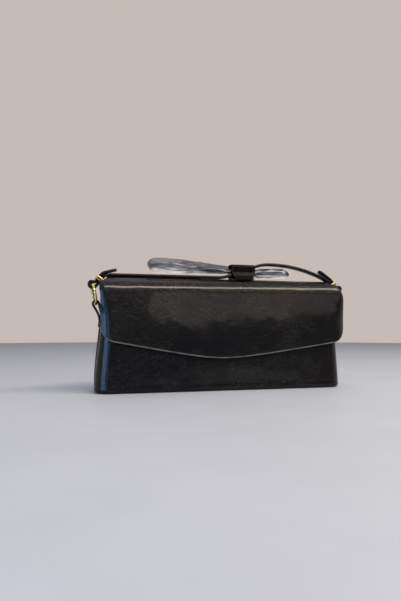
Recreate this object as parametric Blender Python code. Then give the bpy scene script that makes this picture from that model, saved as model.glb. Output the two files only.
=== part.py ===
"""A long flap-over leather shoulder bag, standing on its base.

Metres, +Z up. X runs along the bag, the front faces -Y, and the origin is on
the ground under the middle of the base. The flap folds over a round top edge.
The strap runs end to end over that edge, and its two end loops hang in round
rings whose centres lie on the axis of the round edge, so the strap can swing.
"""

import math

import bmesh
import bpy
import numpy as np

# Body of the bag
base_half_width = 0.1300
base_half_depth = 0.0275
shoulder_half_width = 0.1226
top_half_width = 0.1210
fold_axis_y = -0.007
fold_axis_height = 0.0965
fold_radius = 0.0175
front_top_height = 0.092
front_bulge = 0.0012
corner_radius = 0.008
shoulder_corner_radius = 0.005
fold_corner_radius = 0.0024
side_return = 0.003
fold_side_return = 0.0006
bottom_round = 0.004
curl_angle = math.radians(68)
fold_end_angle = math.radians(38.5)

# Leather, cloth and clearances
panel_leather = 0.0016
gusset_leather = 0.0014
flap_leather = 0.0018
strap_leather = 0.0018
tab_leather = 0.0014
keeper_leather = 0.0013
lining_cloth = 0.0006
flap_cloth = 0.0007
film = 0.0005
seam_gap = 0.0003
end_seam_gap = 0.0005
lining_gap = 0.0005
overrun = 0.001

# Gussets, linings and base
gusset_sag = 0.004
gusset_sag_height = 0.060
gusset_top_rise = 0.009
front_lining_space = 0.0016
lining_top_drop = 0.002
lining_bottom = 0.0055
base_board_thickness = 0.0018
pocket_half_width = 0.060
pocket_bottom = 0.026
pocket_top = 0.076

# Flap
hinge_angle = math.radians(39)
hinge_lift = 0.0003
flap_start_angle = math.radians(39.5)
flap_half_width = 0.1322
flap_neck_half_width = 0.1225
flap_neck_height = 0.1115
flap_full_height = 0.093
flap_rest_gap = 0.0005
flap_left_height = 0.0500
flap_right_height = 0.0468
flap_side_x = 0.118
flap_tip_height = 0.0330
flap_tip_x = -0.004
flap_tip_round = 0.030
flap_corner = 0.014
flap_edge_curl = 0.0025
flap_curl_width = 0.012
flap_lining_inset = 0.0022

# Magnetic closure
magnet_radius = 0.007
magnet_height = 0.047
magnet_thickness = 0.0009
front_magnet_thickness = 0.0010
magnet_recess = 0.0012
recess_clearance = 0.0003

# Rings and their tabs
ring_radius = 0.0103
ring_wire_radius = 0.0012
ring_centre_x = 0.1325
ring_lean = math.radians(11)
tab_half_width = 0.0045
tab_bottom = 0.062
tab_turn_height = 0.0735
tab_loop_clearance = 0.0008
tab_end_clearance = 0.0014
tab_tail_step = 0.002

# Strap
strap_half_width = 0.0045
strap_slope = math.radians(52)
strap_bend_radius = 0.004
ring_swing_clearance = 0.0030
ring_outer_clearance = 0.0006
loop_close_length = 0.0068
tail_length = 0.011
tail_lift_angle = math.radians(13)
hump_rise = 0.0156
hump_start_x = -0.0058
hump_up_length = 0.0641
hump_end_x = 0.122
hump_down_length = 0.047
strap_step = 0.0035

# Slider bars on the strap ends
slider_length = 0.0035
slider_wall = 0.0011
slider_clearance = 0.00025
slider_from_ring = 0.0099

# Keeper and the clear film that it gathers
keeper_left = 0.007
keeper_right = 0.0365
keeper_rise = 0.0156
keeper_side_clearance = 0.0003
keeper_bend = 0.0013
keeper_start_gap = 0.0006
keeper_tongue_angle = math.radians(32.5)
tongue_round_angle = math.radians(24)
tongue_round = 0.007
pinch_start = 0.0015
pinch_length = 0.0020
film_half_width = 0.004
film_pinch_outer = 0.0047
film_pinch_inner = 0.0006
strap_pinch_inner = 0.0002
film_left_end = -0.079
film_right_end = 0.0745
film_left_top = 0.0180
film_left_low = 0.0032
film_gate_top = 0.0112
film_gate_low = 0.0056
film_exit_top = 0.0098
film_exit_low = 0.0026
film_left_round_x = 0.010
film_right_round_x = 0.006
film_left_flat = 0.016

smooth_face_angle = math.radians(40)
corner_cut_share = 0.25
least_corner_share = 0.5
first_tongue_share = 0.5
shoulder_turn_share = 0.5
fold_turn_share = 0.4
dome_rows = 14
corner_steps = 4
straight_steps = 10


def clear_scene():
    for old in list(bpy.data.objects):
        bpy.data.objects.remove(old, do_unlink=True)


def finish(name, colour, roughness, metallic=0.0, alpha=1.0):
    made = bpy.data.materials.new(name)
    made.use_nodes = True
    shader = made.node_tree.nodes["Principled BSDF"]
    shader.inputs["Base Color"].default_value = (*colour, 1.0)
    shader.inputs["Roughness"].default_value = roughness
    shader.inputs["Metallic"].default_value = metallic
    shader.inputs["Alpha"].default_value = alpha
    return made


def make_object(name, points, faces, material, pivot=(0.0, 0.0, 0.0)):
    """One closed body whose origin is at its pivot."""
    mesh = bpy.data.meshes.new(name)
    shifted = [tuple(np.asarray(p, float) - np.asarray(pivot, float)) for p in points]
    mesh.from_pydata(shifted, [], faces)
    shell = bmesh.new()
    shell.from_mesh(mesh)
    bmesh.ops.recalc_face_normals(shell, faces=shell.faces)
    shell.to_mesh(mesh)
    shell.free()
    mesh.materials.append(material)
    mesh.shade_smooth()
    mesh.set_sharp_from_angle(angle=smooth_face_angle)
    made = bpy.data.objects.new(name, mesh)
    made.location = pivot
    bpy.context.scene.collection.objects.link(made)
    return made


def normals_of(grid):
    """Outward unit normals of a grid of points, rows along the section."""
    across = np.gradient(grid, axis=1)
    along = np.gradient(grid, axis=0)
    normal = np.cross(across, along)
    return normal / np.linalg.norm(normal, axis=2, keepdims=True)


def sheet_faces(rows, columns):
    """Quads of a closed sheet: outer face, inner face and the rim between."""
    def outer(i, j):
        return i * columns + j

    def inner(i, j):
        return rows * columns + outer(i, j)

    faces = []
    for i in range(rows - 1):
        for j in range(columns - 1):
            ring = [(i, j), (i, j + 1), (i + 1, j + 1), (i + 1, j)]
            faces.append([outer(*k) for k in ring])
            faces.append([inner(*k) for k in reversed(ring)])
    edge = [(0, j) for j in range(columns)]
    edge += [(i, columns - 1) for i in range(1, rows)]
    edge += [(rows - 1, j) for j in range(columns - 2, -1, -1)]
    edge += [(i, 0) for i in range(rows - 2, 0, -1)]
    for a, b in zip(edge, edge[1:] + edge[:1]):
        faces.append([outer(*b), outer(*a), inner(*a), inner(*b)])
    return faces


def sheet(name, grid, depth, thickness, material, pivot=(0.0, 0.0, 0.0), kept=slice(None)):
    """A sheet whose outer face lies a depth below the kept rows of a grid."""
    normal = normals_of(grid)[kept]
    outer = grid[kept] - normal * depth
    inner = grid[kept] - normal * (depth + thickness)
    points = np.concatenate([outer.reshape(-1, 3), inner.reshape(-1, 3)])
    faces = sheet_faces(outer.shape[0], outer.shape[1])
    return make_object(name, points, faces, material, pivot)


def smooth_share(value):
    held = min(max(value, 0.0), 1.0)
    return held * held * (3 - 2 * held)


def between(low, high, share):
    return low + (high - low) * share


def half_width(height):
    """Half the body's width at a height."""
    if height <= fold_axis_height:
        share = height / fold_axis_height
        return between(base_half_width, shoulder_half_width, share)
    share = min((height - fold_axis_height) / fold_radius, 1.0)
    return between(shoulder_half_width, top_half_width, smooth_share(share / shoulder_turn_share))


def flap_stack():
    """From the front panel's face to the flap's outer face."""
    return flap_leather + seam_gap + flap_cloth + flap_rest_gap


def front_y(height, x=0.0):
    """The front panel's outer face."""
    shoulder = fold_axis_y - fold_radius + flap_stack()
    share = height / fold_axis_height
    crown = (1 - (x / base_half_width) ** 2) * math.sin(math.pi * min(share, 1.0))
    return between(-base_half_depth, shoulder, share) - front_bulge * max(crown, 0.0)


def back_y(height):
    share = height / fold_axis_height
    return between(base_half_depth, fold_axis_y + fold_radius, share)


def corner_at(height):
    share = min(height / fold_axis_height, 1.0)
    return between(corner_radius, shoulder_corner_radius, share)


def wrapped_columns(half, corner, back):
    """Across a panel: how far along X, and how far in from its face."""
    turns = [math.radians(90) * (k + 1) / corner_steps for k in range(corner_steps)]
    side = [(half - corner * (1 - math.sin(t)), corner * (1 - math.cos(t))) for t in turns]
    side.append((half, corner + back))
    flat = half - corner
    middle = [(flat * (2 * k / straight_steps - 1), 0.0) for k in range(straight_steps + 1)]
    left = [(-x, depth) for x, depth in reversed(side)]
    return left + middle + side


def flat_columns(half):
    return [(half * (2 * k / straight_steps - 1), 0.0) for k in range(straight_steps + 1)]


def curl_rows(face_y, side):
    """The rounded lower edge of a panel, from its hidden end up to its face."""
    rows = []
    for k in range(corner_steps + 1):
        turn = curl_angle * (1 - k / corner_steps)
        inset = bottom_round * (1 - math.cos(turn))
        height = bottom_round * (1 - math.sin(turn))
        rows.append((face_y - side * inset, height, inset))
    return rows


def section_normals(section):
    track = np.array([(row[0], row[1]) for row in section])
    tangent = np.gradient(track, axis=0)
    tangent /= np.linalg.norm(tangent, axis=1, keepdims=True)
    return np.stack([-tangent[:, 1], tangent[:, 0]], axis=1)


def panel_grid(section, columns_of):
    """Points of a panel whose section rows are (y, height, inset)."""
    grid = []
    for row, normal in zip(section, section_normals(section)):
        y, height, inset = row
        if height < bottom_round:
            normal = (math.copysign(1.0, y), 0.0)
        line = []
        for x, depth in columns_of(height, inset):
            line.append((x, y - normal[0] * depth, height - normal[1] * depth))
        grid.append(line)
    return np.array(grid)


def front_section(top):
    rows = curl_rows(-base_half_depth, -1)
    count = 12
    for k in range(count + 1):
        height = between(lining_bottom, top, k / count)
        rows.append((front_y(height) + front_bulge_at(height), height, 0.0))
    return rows


def front_bulge_at(height):
    """How far the crown stands proud at the middle of the front."""
    return front_bulge * max(math.sin(math.pi * height / fold_axis_height), 0.0)


def back_section(start_angle):
    """Over the round top edge from its front end, and down the back."""
    rows = []
    for k in range(dome_rows + 1):
        angle = between(-start_angle, math.radians(90), k / dome_rows)
        y = fold_axis_y + fold_radius * math.sin(angle)
        rows.append((y, fold_axis_height + fold_radius * math.cos(angle), 0.0))
    count = 9
    for k in range(1, count + 1):
        height = between(fold_axis_height, lining_bottom, k / count)
        rows.append((back_y(height), height, 0.0))
    return rows + list(reversed(curl_rows(base_half_depth, 1)))


def add_crown(grid):
    """Pushes the middle of the front outwards."""
    for line in grid:
        for point in line:
            flat = front_y(point[2], base_half_width)
            point[1] += front_y(point[2], point[0]) - flat
    return grid


def front_columns(height, inset):
    return wrapped_columns(half_width(height) - inset, corner_at(height) - inset, side_return)


def back_columns(height, inset):
    over = max(height - fold_axis_height, 0.0) / fold_radius
    share = smooth_share(over / fold_turn_share)
    corner = between(corner_at(height), fold_corner_radius, share) - inset
    back = between(side_return, fold_side_return, share)
    return wrapped_columns(half_width(height) - inset, corner, back)


def front_lining_columns(height, inset):
    return front_columns(height, inset)[corner_steps:-corner_steps]


def back_lining_columns(height, inset):
    return back_columns(height, inset)[corner_steps:-corner_steps]


def bottom_inset(height):
    """How far the rounded lower edge draws in at a height."""
    drop_share = max(1 - height / bottom_round, 0.0)
    return bottom_round * (1 - math.sqrt(1 - drop_share ** 2))


def gusset_face(height, depth_share):
    """How far out the gusset's outer face stands."""
    sag = 0.0
    if height < gusset_sag_height:
        sag = gusset_sag * math.sin(math.pi * height / gusset_sag_height)
    edge = half_width(height) - bottom_inset(height) - panel_leather - end_seam_gap
    return edge - sag * (1 - depth_share ** 2)


def gusset_grid(side, bottom, edge_inset):
    """Points of one end wall, from the base up under the round top edge."""
    grid = []
    low_count = 12
    top_count = 5
    heights = [between(bottom, fold_axis_height, k / low_count) for k in range(low_count)]
    reach_front = fold_axis_y - front_y(fold_axis_height) - shoulder_corner_radius
    reach_back = fold_radius - shoulder_corner_radius
    for k in range(top_count + 1):
        heights.append(fold_axis_height + gusset_top_rise * k / top_count)
    for height in heights:
        rise = max(height - fold_axis_height, 0.0)
        low = front_y(height, base_half_width) + corner_at(height)
        high = back_y(height) - corner_at(height)
        if rise > 0.0:
            low = fold_axis_y - math.sqrt(reach_front ** 2 - rise ** 2)
            high = fold_axis_y + math.sqrt(reach_back ** 2 - rise ** 2)
        line = []
        count = 8
        for k in range(count + 1):
            y = between(low + edge_inset, high - edge_inset, k / count)
            depth_share = (2 * y - low - high) / (high - low)
            line.append((side * gusset_face(height, depth_share), y, height))
        grid.append(line)
    grid = np.array(grid)
    return grid if side > 0 else grid[:, ::-1]


def rounded_outline(half_x, half_y, radius, steps):
    points = []
    corners = [(1, 1, 0), (-1, 1, 90), (-1, -1, 180), (1, -1, 270)]
    for sx, sy, turn in corners:
        for k in range(steps + 1):
            angle = math.radians(turn + 90 * k / steps)
            x = sx * (half_x - radius) + radius * math.cos(angle)
            y = sy * (half_y - radius) + radius * math.sin(angle)
            points.append((x, y))
    return points


def prism(name, outline, low, high, material):
    count = len(outline)
    points = [(x, y, low) for x, y in outline] + [(x, y, high) for x, y in outline]
    faces = [list(range(count))[::-1], [count + k for k in range(count)]]
    for k in range(count):
        after = (k + 1) % count
        faces.append([k, after, count + after, count + k])
    return make_object(name, points, faces, material)


def ribbon(name, track, lows, highs, thickness, plane, material, pivot, closed=False):
    """A strip of even thickness along a track in the XZ or the YZ plane."""
    track = np.array(track, float)
    if closed:
        ahead = np.roll(track, -1, axis=0)
        behind = np.roll(track, 1, axis=0)
    else:
        ahead = np.concatenate([track[1:], 2 * track[-1:] - track[-2:-1]])
        behind = np.concatenate([2 * track[:1] - track[1:2], track[:-1]])
    first = track - behind
    second = ahead - track
    first /= np.linalg.norm(first, axis=1, keepdims=True)
    second /= np.linalg.norm(second, axis=1, keepdims=True)
    tangent = first + second
    tangent /= np.linalg.norm(tangent, axis=1, keepdims=True)
    normal = np.stack([-tangent[:, 1], tangent[:, 0]], axis=1)
    stretch = 1 / np.maximum((tangent * second).sum(axis=1), least_corner_share)
    offset = normal * (thickness / 2 * stretch)[:, None]
    points = []
    for spot, push, low, high in zip(track, offset, lows, highs):
        corners = [(spot + push, low), (spot + push, high), (spot - push, high), (spot - push, low)]
        for flat, across in corners:
            if plane == "XZ":
                points.append((flat[0], across, flat[1]))
            else:
                points.append((across, flat[0], flat[1]))
    count = len(track)
    faces = []
    for i in range(count if closed else count - 1):
        after = (i + 1) % count
        for k in range(4):
            following = (k + 1) % 4
            faces.append([4 * i + k, 4 * i + following, 4 * after + following, 4 * after + k])
    if not closed:
        faces.append([3, 2, 1, 0])
        faces.append([4 * (count - 1) + k for k in range(4)])
    return make_object(name, points, faces, material, pivot)


def rounded_track(points, rounds=2):
    """Cuts the corners of a track, keeping its ends."""
    track = [np.array(p, float) for p in points]
    for _ in range(rounds):
        cut = [track[0]]
        for a, b in zip(track, track[1:]):
            cut.append(between(a, b, corner_cut_share))
            cut.append(between(b, a, corner_cut_share))
        cut.append(track[-1])
        track = cut
    return track


def strap_level():
    """Height of the strap's middle above the fold axis, where it lies flat."""
    return fold_radius + seam_gap + strap_leather / 2


def ring_point(share):
    """The wire's middle at the top (1) or bottom (-1) of a ring, as (x, rise)."""
    return np.array([
        ring_centre_x + share * ring_radius * math.sin(ring_lean),
        share * ring_radius * math.cos(ring_lean),
    ])


def strap_end():
    """The sloping end of the strap, as (x, rise above the fold axis).

    Gives the way out, the turn under the ring's wire, the way back with its
    tail, and the slope's own directions for what sits on it.
    """
    down = np.array([math.cos(strap_slope), -math.sin(strap_slope)])
    out = np.array([math.sin(strap_slope), math.cos(strap_slope)])
    inner = ring_wire_radius + ring_swing_clearance + strap_leather / 2
    outer = ring_wire_radius + ring_outer_clearance + strap_leather / 2
    turn_radius = (inner + outer) / 2
    centre = ring_point(1) + out * (outer - inner) / 2
    foot = centre - out * turn_radius
    level = strap_level()
    crossing = foot[0] - (level - foot[1]) / math.tan(strap_slope)
    trim = strap_bend_radius * math.tan(strap_slope / 2)
    bend_centre = np.array([crossing - trim, level - strap_bend_radius])
    bend_steps = 6
    way_out = []
    for k in range(bend_steps + 1):
        turn = strap_slope * k / bend_steps
        way_out.append(bend_centre + strap_bend_radius * np.array([math.sin(turn), math.cos(turn)]))
    slope_length = float(np.linalg.norm(foot - way_out[-1]))
    slope_steps = 5
    for k in range(1, slope_steps + 1):
        way_out.append(foot - down * slope_length * (1 - k / slope_steps))
    turn_steps = 9
    for k in range(1, turn_steps):
        turn = math.pi * k / turn_steps
        way_out.append(centre - out * turn_radius * math.cos(turn) + down * turn_radius * math.sin(turn))
    layer = strap_leather + seam_gap
    back_steps = 9
    for k in range(back_steps + 1):
        along = slope_length * k / back_steps
        share = smooth_share(along / loop_close_length)
        way_out.append(foot - down * along + out * between(2 * turn_radius, layer, share))
    tail_steps = 4
    for k in range(1, tail_steps + 1):
        turn = between(strap_slope, tail_lift_angle, k / tail_steps)
        reach = strap_bend_radius + layer
        way_out.append(bend_centre + reach * np.array([math.sin(turn), math.cos(turn)]))
    tail = np.array([-math.cos(tail_lift_angle), math.sin(tail_lift_angle)])
    last = way_out[-1]
    for k in range(1, tail_steps + 1):
        way_out.append(last + tail * tail_length * k / tail_steps)
    return way_out, foot, down, out, layer


def strap_rise(x):
    """How far the strap arches up off the top of the bag."""
    up = smooth_share((x - hump_start_x) / hump_up_length)
    fall = smooth_share((hump_end_x - x) / hump_down_length)
    return hump_rise * up * fall


def pinch_share(x):
    """From 0 outside the keeper to 1 where strap and film lie side by side."""
    enter = (x - keeper_left - pinch_start) / pinch_length
    leave = (keeper_right - pinch_start - x) / pinch_length
    return min(max(min(enter, leave), 0.0), 1.0)


def add_strap(material):
    end = strap_end()[0]
    right = [(p[0], p[1]) for p in end]
    left = [(-p[0], p[1]) for p in reversed(end)]
    first = -end[0][0]
    last = end[0][0]
    count = int(round((last - first) / strap_step))
    middle = []
    for k in range(1, count):
        x = between(first, last, k / count)
        middle.append((x, strap_level() + strap_rise(x)))
    for edge in (keeper_left + pinch_start, keeper_right - pinch_start):
        inward = 1 if edge < (keeper_left + keeper_right) / 2 else -1
        for x in (edge, edge + inward * pinch_length):
            middle.append((x, strap_level() + strap_rise(x)))
    middle.sort()
    track = left + middle + right
    low_line = []
    high_line = []
    for x, _ in track:
        share = pinch_share(x)
        low_line.append(fold_axis_y + between(-strap_half_width, strap_pinch_inner, share))
        high_line.append(fold_axis_y + strap_half_width)
    track = [(x, rise + fold_axis_height) for x, rise in track]
    pivot = (0.0, fold_axis_y, fold_axis_height)
    return ribbon("strap", track, low_line, high_line, strap_leather, "XZ", material, pivot)


def add_slider(side_name, side, material):
    """A flat metal loop round both layers of one strap end."""
    _, foot, down, out, layer = strap_end()
    middle = foot - down * slider_from_ring + out * layer / 2
    inner_out = (layer + strap_leather) / 2 + slider_clearance
    inner_y = strap_half_width + slider_clearance
    points = []
    for end in (-slider_length / 2, slider_length / 2):
        for grow in (0.0, slider_wall):
            corners = [(1, 1), (-1, 1), (-1, -1), (1, -1)]
            for so, sy in corners:
                spot = middle + down * end + out * so * (inner_out + grow)
                y = fold_axis_y + sy * (inner_y + grow)
                points.append((side * spot[0], y, fold_axis_height + spot[1]))
    faces = []
    for k in range(4):
        after = (k + 1) % 4
        faces.append([k, after, 8 + after, 8 + k])
        faces.append([4 + k, 12 + k, 12 + after, 4 + after])
        faces.append([k, 4 + k, 4 + after, after])
        faces.append([8 + k, 8 + after, 12 + after, 12 + k])
    pivot = (side * middle[0], fold_axis_y, fold_axis_height + middle[1])
    return make_object("slider_" + side_name, points, faces, material, pivot)


def add_ring(side_name, side, material):
    round_steps = 36
    wire_steps = 10
    centre = np.array([side * ring_centre_x, fold_axis_y, fold_axis_height])
    up = np.array([side * math.sin(ring_lean), 0.0, math.cos(ring_lean)])
    forward = np.array([0.0, 1.0, 0.0])
    axle = np.cross(up, forward)
    points = []
    faces = []
    for i in range(round_steps):
        turn = 2 * math.pi * i / round_steps
        spoke = up * math.cos(turn) + forward * math.sin(turn)
        for k in range(wire_steps):
            round_wire = 2 * math.pi * k / wire_steps
            reach = ring_radius + ring_wire_radius * math.cos(round_wire)
            points.append(centre + spoke * reach + axle * ring_wire_radius * math.sin(round_wire))
            a = i * wire_steps
            b = ((i + 1) % round_steps) * wire_steps
            after = (k + 1) % wire_steps
            faces.append([a + k, b + k, b + after, a + after])
    return make_object("ring_" + side_name, points, faces, material, tuple(centre))


def add_tab(side_name, side, material):
    """The leather tab that holds a ring: sewn to the gusset, looped round the wire."""
    wire = ring_point(-1) + np.array([0.0, fold_axis_height])
    reach = ring_wire_radius + tab_loop_clearance + tab_leather / 2
    shift = tab_end_clearance - tab_loop_clearance

    def seat(height):
        face = gusset_face(height, 0.0)
        return np.array([face + seam_gap + tab_leather / 2, height])

    turn_point = seat(tab_turn_height)
    towards = wire - turn_point
    towards = towards / np.linalg.norm(towards)
    inward = np.array([-towards[1], towards[0]])
    step = np.array([tab_leather + seam_gap, 0.0])
    start = rounded_track([seat(tab_bottom), turn_point, wire + inward * reach])
    loop = []
    loop_steps = 9
    for k in range(loop_steps + 1):
        turn = math.pi * k / loop_steps
        spoke = inward * math.cos(turn) + towards * math.sin(turn)
        loop.append(wire + towards * shift + spoke * reach)
    back = rounded_track([
        wire - inward * reach,
        turn_point + step,
        seat(tab_bottom + tab_tail_step) + step,
    ])
    track = [(side * p[0], p[1]) for p in start + loop + back]
    lows = [fold_axis_y - tab_half_width] * len(track)
    highs = [fold_axis_y + tab_half_width] * len(track)
    return ribbon("tab_" + side_name, track, lows, highs, tab_leather, "XZ", material,
                  (side * wire[0], fold_axis_y, wire[1]))


def add_keeper(material):
    """A leather strip wound round strap and film, ending in a rounded tongue."""
    radius = fold_radius + seam_gap + keeper_leather / 2
    wall = strap_half_width + keeper_side_clearance + keeper_leather / 2
    top = fold_radius + keeper_rise - keeper_leather / 2
    bend = keeper_bend
    track = [(-wall + keeper_leather / 2 + keeper_start_gap, radius), (0.0, radius)]
    corners = [(wall - bend, radius + bend, -90), (wall - bend, top - bend, 0),
               (-wall + bend, top - bend, 90)]
    steps = 3
    for cy, cz, start in corners:
        for k in range(steps + 1):
            turn = math.radians(start + 90 * k / steps)
            track.append((cy + bend * math.cos(turn), cz + bend * math.sin(turn)))
    tongue_start = math.asin(wall / radius)
    track.append((-wall, (top + radius) / 2))
    track.append((-wall, radius * math.cos(tongue_start) + bend))
    tongue_steps = 7
    angles = []
    for k in range(tongue_steps + 1):
        share = (k + first_tongue_share) / (tongue_steps + first_tongue_share)
        angle = between(tongue_start, keeper_tongue_angle, share)
        angles.append(angle)
        track.append((-radius * math.sin(angle), radius * math.cos(angle)))
    insets = [0.0] * (len(track) - len(angles))
    for angle in angles:
        span = keeper_tongue_angle - tongue_round_angle
        share = max(angle - tongue_round_angle, 0.0) / span
        insets.append(tongue_round * (1 - math.sqrt(max(1 - share ** 2, 0.0))))
    track = [(fold_axis_y + y, fold_axis_height + z) for y, z in track]
    lows = [keeper_left + inset for inset in insets]
    highs = [keeper_right - inset for inset in insets]
    pivot = ((keeper_left + keeper_right) / 2, fold_axis_y, fold_axis_height + strap_level())
    return ribbon("keeper", track, lows, highs, keeper_leather, "YZ", material, pivot)


def film_corner(x, high, low, length, side, steps):
    """The rounded end of a film loop, from its upper to its lower strand."""
    middle = (high + low) / 2
    half = (high - low) / 2
    points = []
    for k in range(1, steps):
        turn = math.pi * k / steps
        points.append((x + side * length * math.sin(turn), middle + half * math.cos(turn)))
    return points


def add_film(material):
    """A clear band in two flattened loops, gathered where the keeper holds it."""
    left_x = film_left_end + film_left_round_x
    right_x = film_right_end - film_right_round_x
    enter = keeper_left + pinch_start + pinch_length
    leave = keeper_right - pinch_start - pinch_length
    upper_plan = [(left_x, film_left_top), (left_x + film_left_flat, film_left_top),
                  (keeper_left, film_gate_top), (enter, film_gate_top),
                  (leave, film_exit_top), (keeper_right, film_exit_top), (right_x, film_exit_top)]
    lower_plan = [(right_x, film_exit_low), (keeper_right, film_exit_low),
                  (leave, film_exit_low), (enter, film_gate_low), (keeper_left, film_gate_low),
                  (left_x + film_left_flat, film_left_low), (left_x, film_left_low)]
    upper = [tuple(p) for p in rounded_track(upper_plan)]
    lower = [tuple(p) for p in rounded_track(lower_plan)]
    end_steps = 9
    right = film_corner(right_x, film_exit_top, film_exit_low, film_right_round_x, 1, end_steps)
    left = film_corner(left_x, film_left_top, film_left_low, film_left_round_x, -1, end_steps)
    track = upper + right + lower + list(reversed(left))
    base = fold_axis_height + fold_radius
    lows = []
    highs = []
    for x, _ in track:
        share = pinch_share(x)
        lows.append(fold_axis_y - between(film_half_width, film_pinch_outer, share))
        highs.append(fold_axis_y + between(film_half_width, -film_pinch_inner, share))
    track = [(x, base + rise) for x, rise in track]
    pivot = ((keeper_left + keeper_right) / 2, fold_axis_y, fold_axis_height + strap_level())
    return ribbon("clear_film", track, lows, highs, film, "XZ", material, pivot, closed=True)


def flap_half_width_at(height):
    """Half the flap's width: round shoulders, then straight sides."""
    share = (height - flap_full_height) / (flap_neck_height - flap_full_height)
    share = min(max(share, 0.0), 1.0)
    return between(flap_neck_half_width, flap_half_width, math.sqrt(1 - share ** 2))


def flap_edge_height(x, half):
    """The shallow point of the flap's lower edge, with round side corners."""
    side_height = flap_left_height if x < flap_tip_x else flap_right_height
    run = math.hypot(x - flap_tip_x, flap_tip_round) - flap_tip_round
    full_run = math.hypot(flap_side_x, flap_tip_round) - flap_tip_round
    height = between(flap_tip_height, side_height, run / full_run)
    into = max(abs(x) - (half - flap_corner), 0.0)
    return height + flap_corner - math.sqrt(max(flap_corner ** 2 - into ** 2, 0.0))


def flap_hinge():
    """The line where the flap bends, on the round edge in front of the strap."""
    reach = fold_radius + hinge_lift
    y = fold_axis_y - reach * math.sin(hinge_angle)
    return (0.0, y, fold_axis_height + reach * math.cos(hinge_angle))


def flap_columns():
    """Shares of the half width, closer together towards the round corners."""
    count = 22
    return [math.sin(math.radians(90) * (2 * k / count - 1)) for k in range(count + 1)]


def flap_grid(start_angle, inset):
    over_rows = 7
    down_rows = 12
    grid = []
    shares = flap_columns()
    for i in range(over_rows + 1):
        angle = between(start_angle, math.radians(90), i / over_rows)
        height = fold_axis_height + fold_radius * math.cos(angle)
        half = flap_half_width_at(height) - inset
        line = []
        for share in shares:
            x = share * half
            depth = flap_curl(x)
            reach = fold_radius - depth
            y = fold_axis_y - reach * math.sin(angle)
            line.append((x, y, fold_axis_height + reach * math.cos(angle)))
        grid.append(line)
    lowest_half = flap_half_width - inset
    for i in range(1, down_rows + 1):
        line = []
        for share in shares:
            edge = flap_edge_height(share * lowest_half, lowest_half) + inset
            height = between(fold_axis_height, edge, i / down_rows)
            x = share * (flap_half_width_at(height) - inset)
            y = front_y(height, x) - flap_stack() + flap_curl(x)
            line.append((x, y, height))
        grid.append(line)
    return np.array(grid)[::-1]


def flap_curl(x):
    """How far the flap's side edges draw back towards the body."""
    into = max(abs(x) - (flap_half_width - flap_curl_width), 0.0)
    return flap_edge_curl * (into / flap_curl_width) ** 2


def front_frame(height, depth):
    """A point behind the flap's face on its middle line, and the way it faces."""
    y = front_y(height) - flap_stack()
    rise = fold_axis_height / 2
    lean = (front_y(rise) - front_y(0.0)) / rise
    tilt = math.atan(lean)
    facing = np.array([0.0, -math.cos(tilt), math.sin(tilt)])
    return np.array([0.0, y, height]) - facing * depth, facing


def disc(name, centre, facing, radius, thickness, material, pivot):
    """A flat round disc whose outer face is centred on a point."""
    steps = 28
    side = np.array([1.0, 0.0, 0.0])
    up = np.cross(side, facing)
    outer = []
    inner = []
    for k in range(steps):
        turn = 2 * math.pi * k / steps
        spoke = side * math.cos(turn) * radius + up * math.sin(turn) * radius
        outer.append(centre + spoke)
        inner.append(centre + spoke - facing * thickness)
    faces = [list(range(steps))[::-1], [steps + k for k in range(steps)]]
    for k in range(steps):
        after = (k + 1) % steps
        faces.append([k, after, steps + after, steps + k])
    return make_object(name, outer + inner, faces, material, pivot)


def add_recess(piece, cutter):
    cutter.hide_render = True
    cutter.display_type = "WIRE"
    cut = piece.modifiers.new("recess", "BOOLEAN")
    cut.operation = "DIFFERENCE"
    cut.object = cutter
    cut.solver = "EXACT"


def add_body(leather, cloth):
    front = add_crown(panel_grid(front_section(front_top_height), front_columns))
    sheet("front_panel", front, 0.0, panel_leather, leather)
    back = panel_grid(back_section(fold_end_angle), back_columns)
    sheet("back_panel", back, 0.0, panel_leather, leather)
    lining_top = front_top_height - lining_top_drop
    lined = add_crown(panel_grid(front_section(lining_top), front_lining_columns))
    sheet("lining_front", lined, panel_leather + front_lining_space, lining_cloth, cloth,
          kept=slice(corner_steps + 1, None))
    backed = panel_grid(back_section(fold_end_angle), back_lining_columns)
    sheet("lining_back", backed, panel_leather + lining_gap, lining_cloth, cloth,
          kept=slice(0, -corner_steps - 1))
    pocket_rows = 6
    rows = []
    for k in range(pocket_rows + 1):
        height = between(pocket_top, pocket_bottom, k / pocket_rows)
        rows.append((back_y(height), height, 0.0))
    pocket = panel_grid(rows, lambda height, inset: flat_columns(pocket_half_width))
    under = panel_leather + lining_gap + lining_cloth + seam_gap
    sheet("slip_pocket", pocket, under, lining_cloth, cloth)


def add_ends(side_name, side, leather, cloth):
    stack = gusset_leather + lining_gap + lining_cloth
    lean_drop = stack * math.pi * gusset_sag / gusset_sag_height
    bottom = panel_leather + seam_gap + lean_drop
    sheet("gusset_" + side_name, gusset_grid(side, bottom, 0.0), 0.0, gusset_leather, leather)
    lined = gusset_grid(side, bottom + base_board_thickness + seam_gap, panel_leather)
    sheet("lining_" + side_name, lined, gusset_leather + lining_gap, lining_cloth, cloth)


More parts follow.
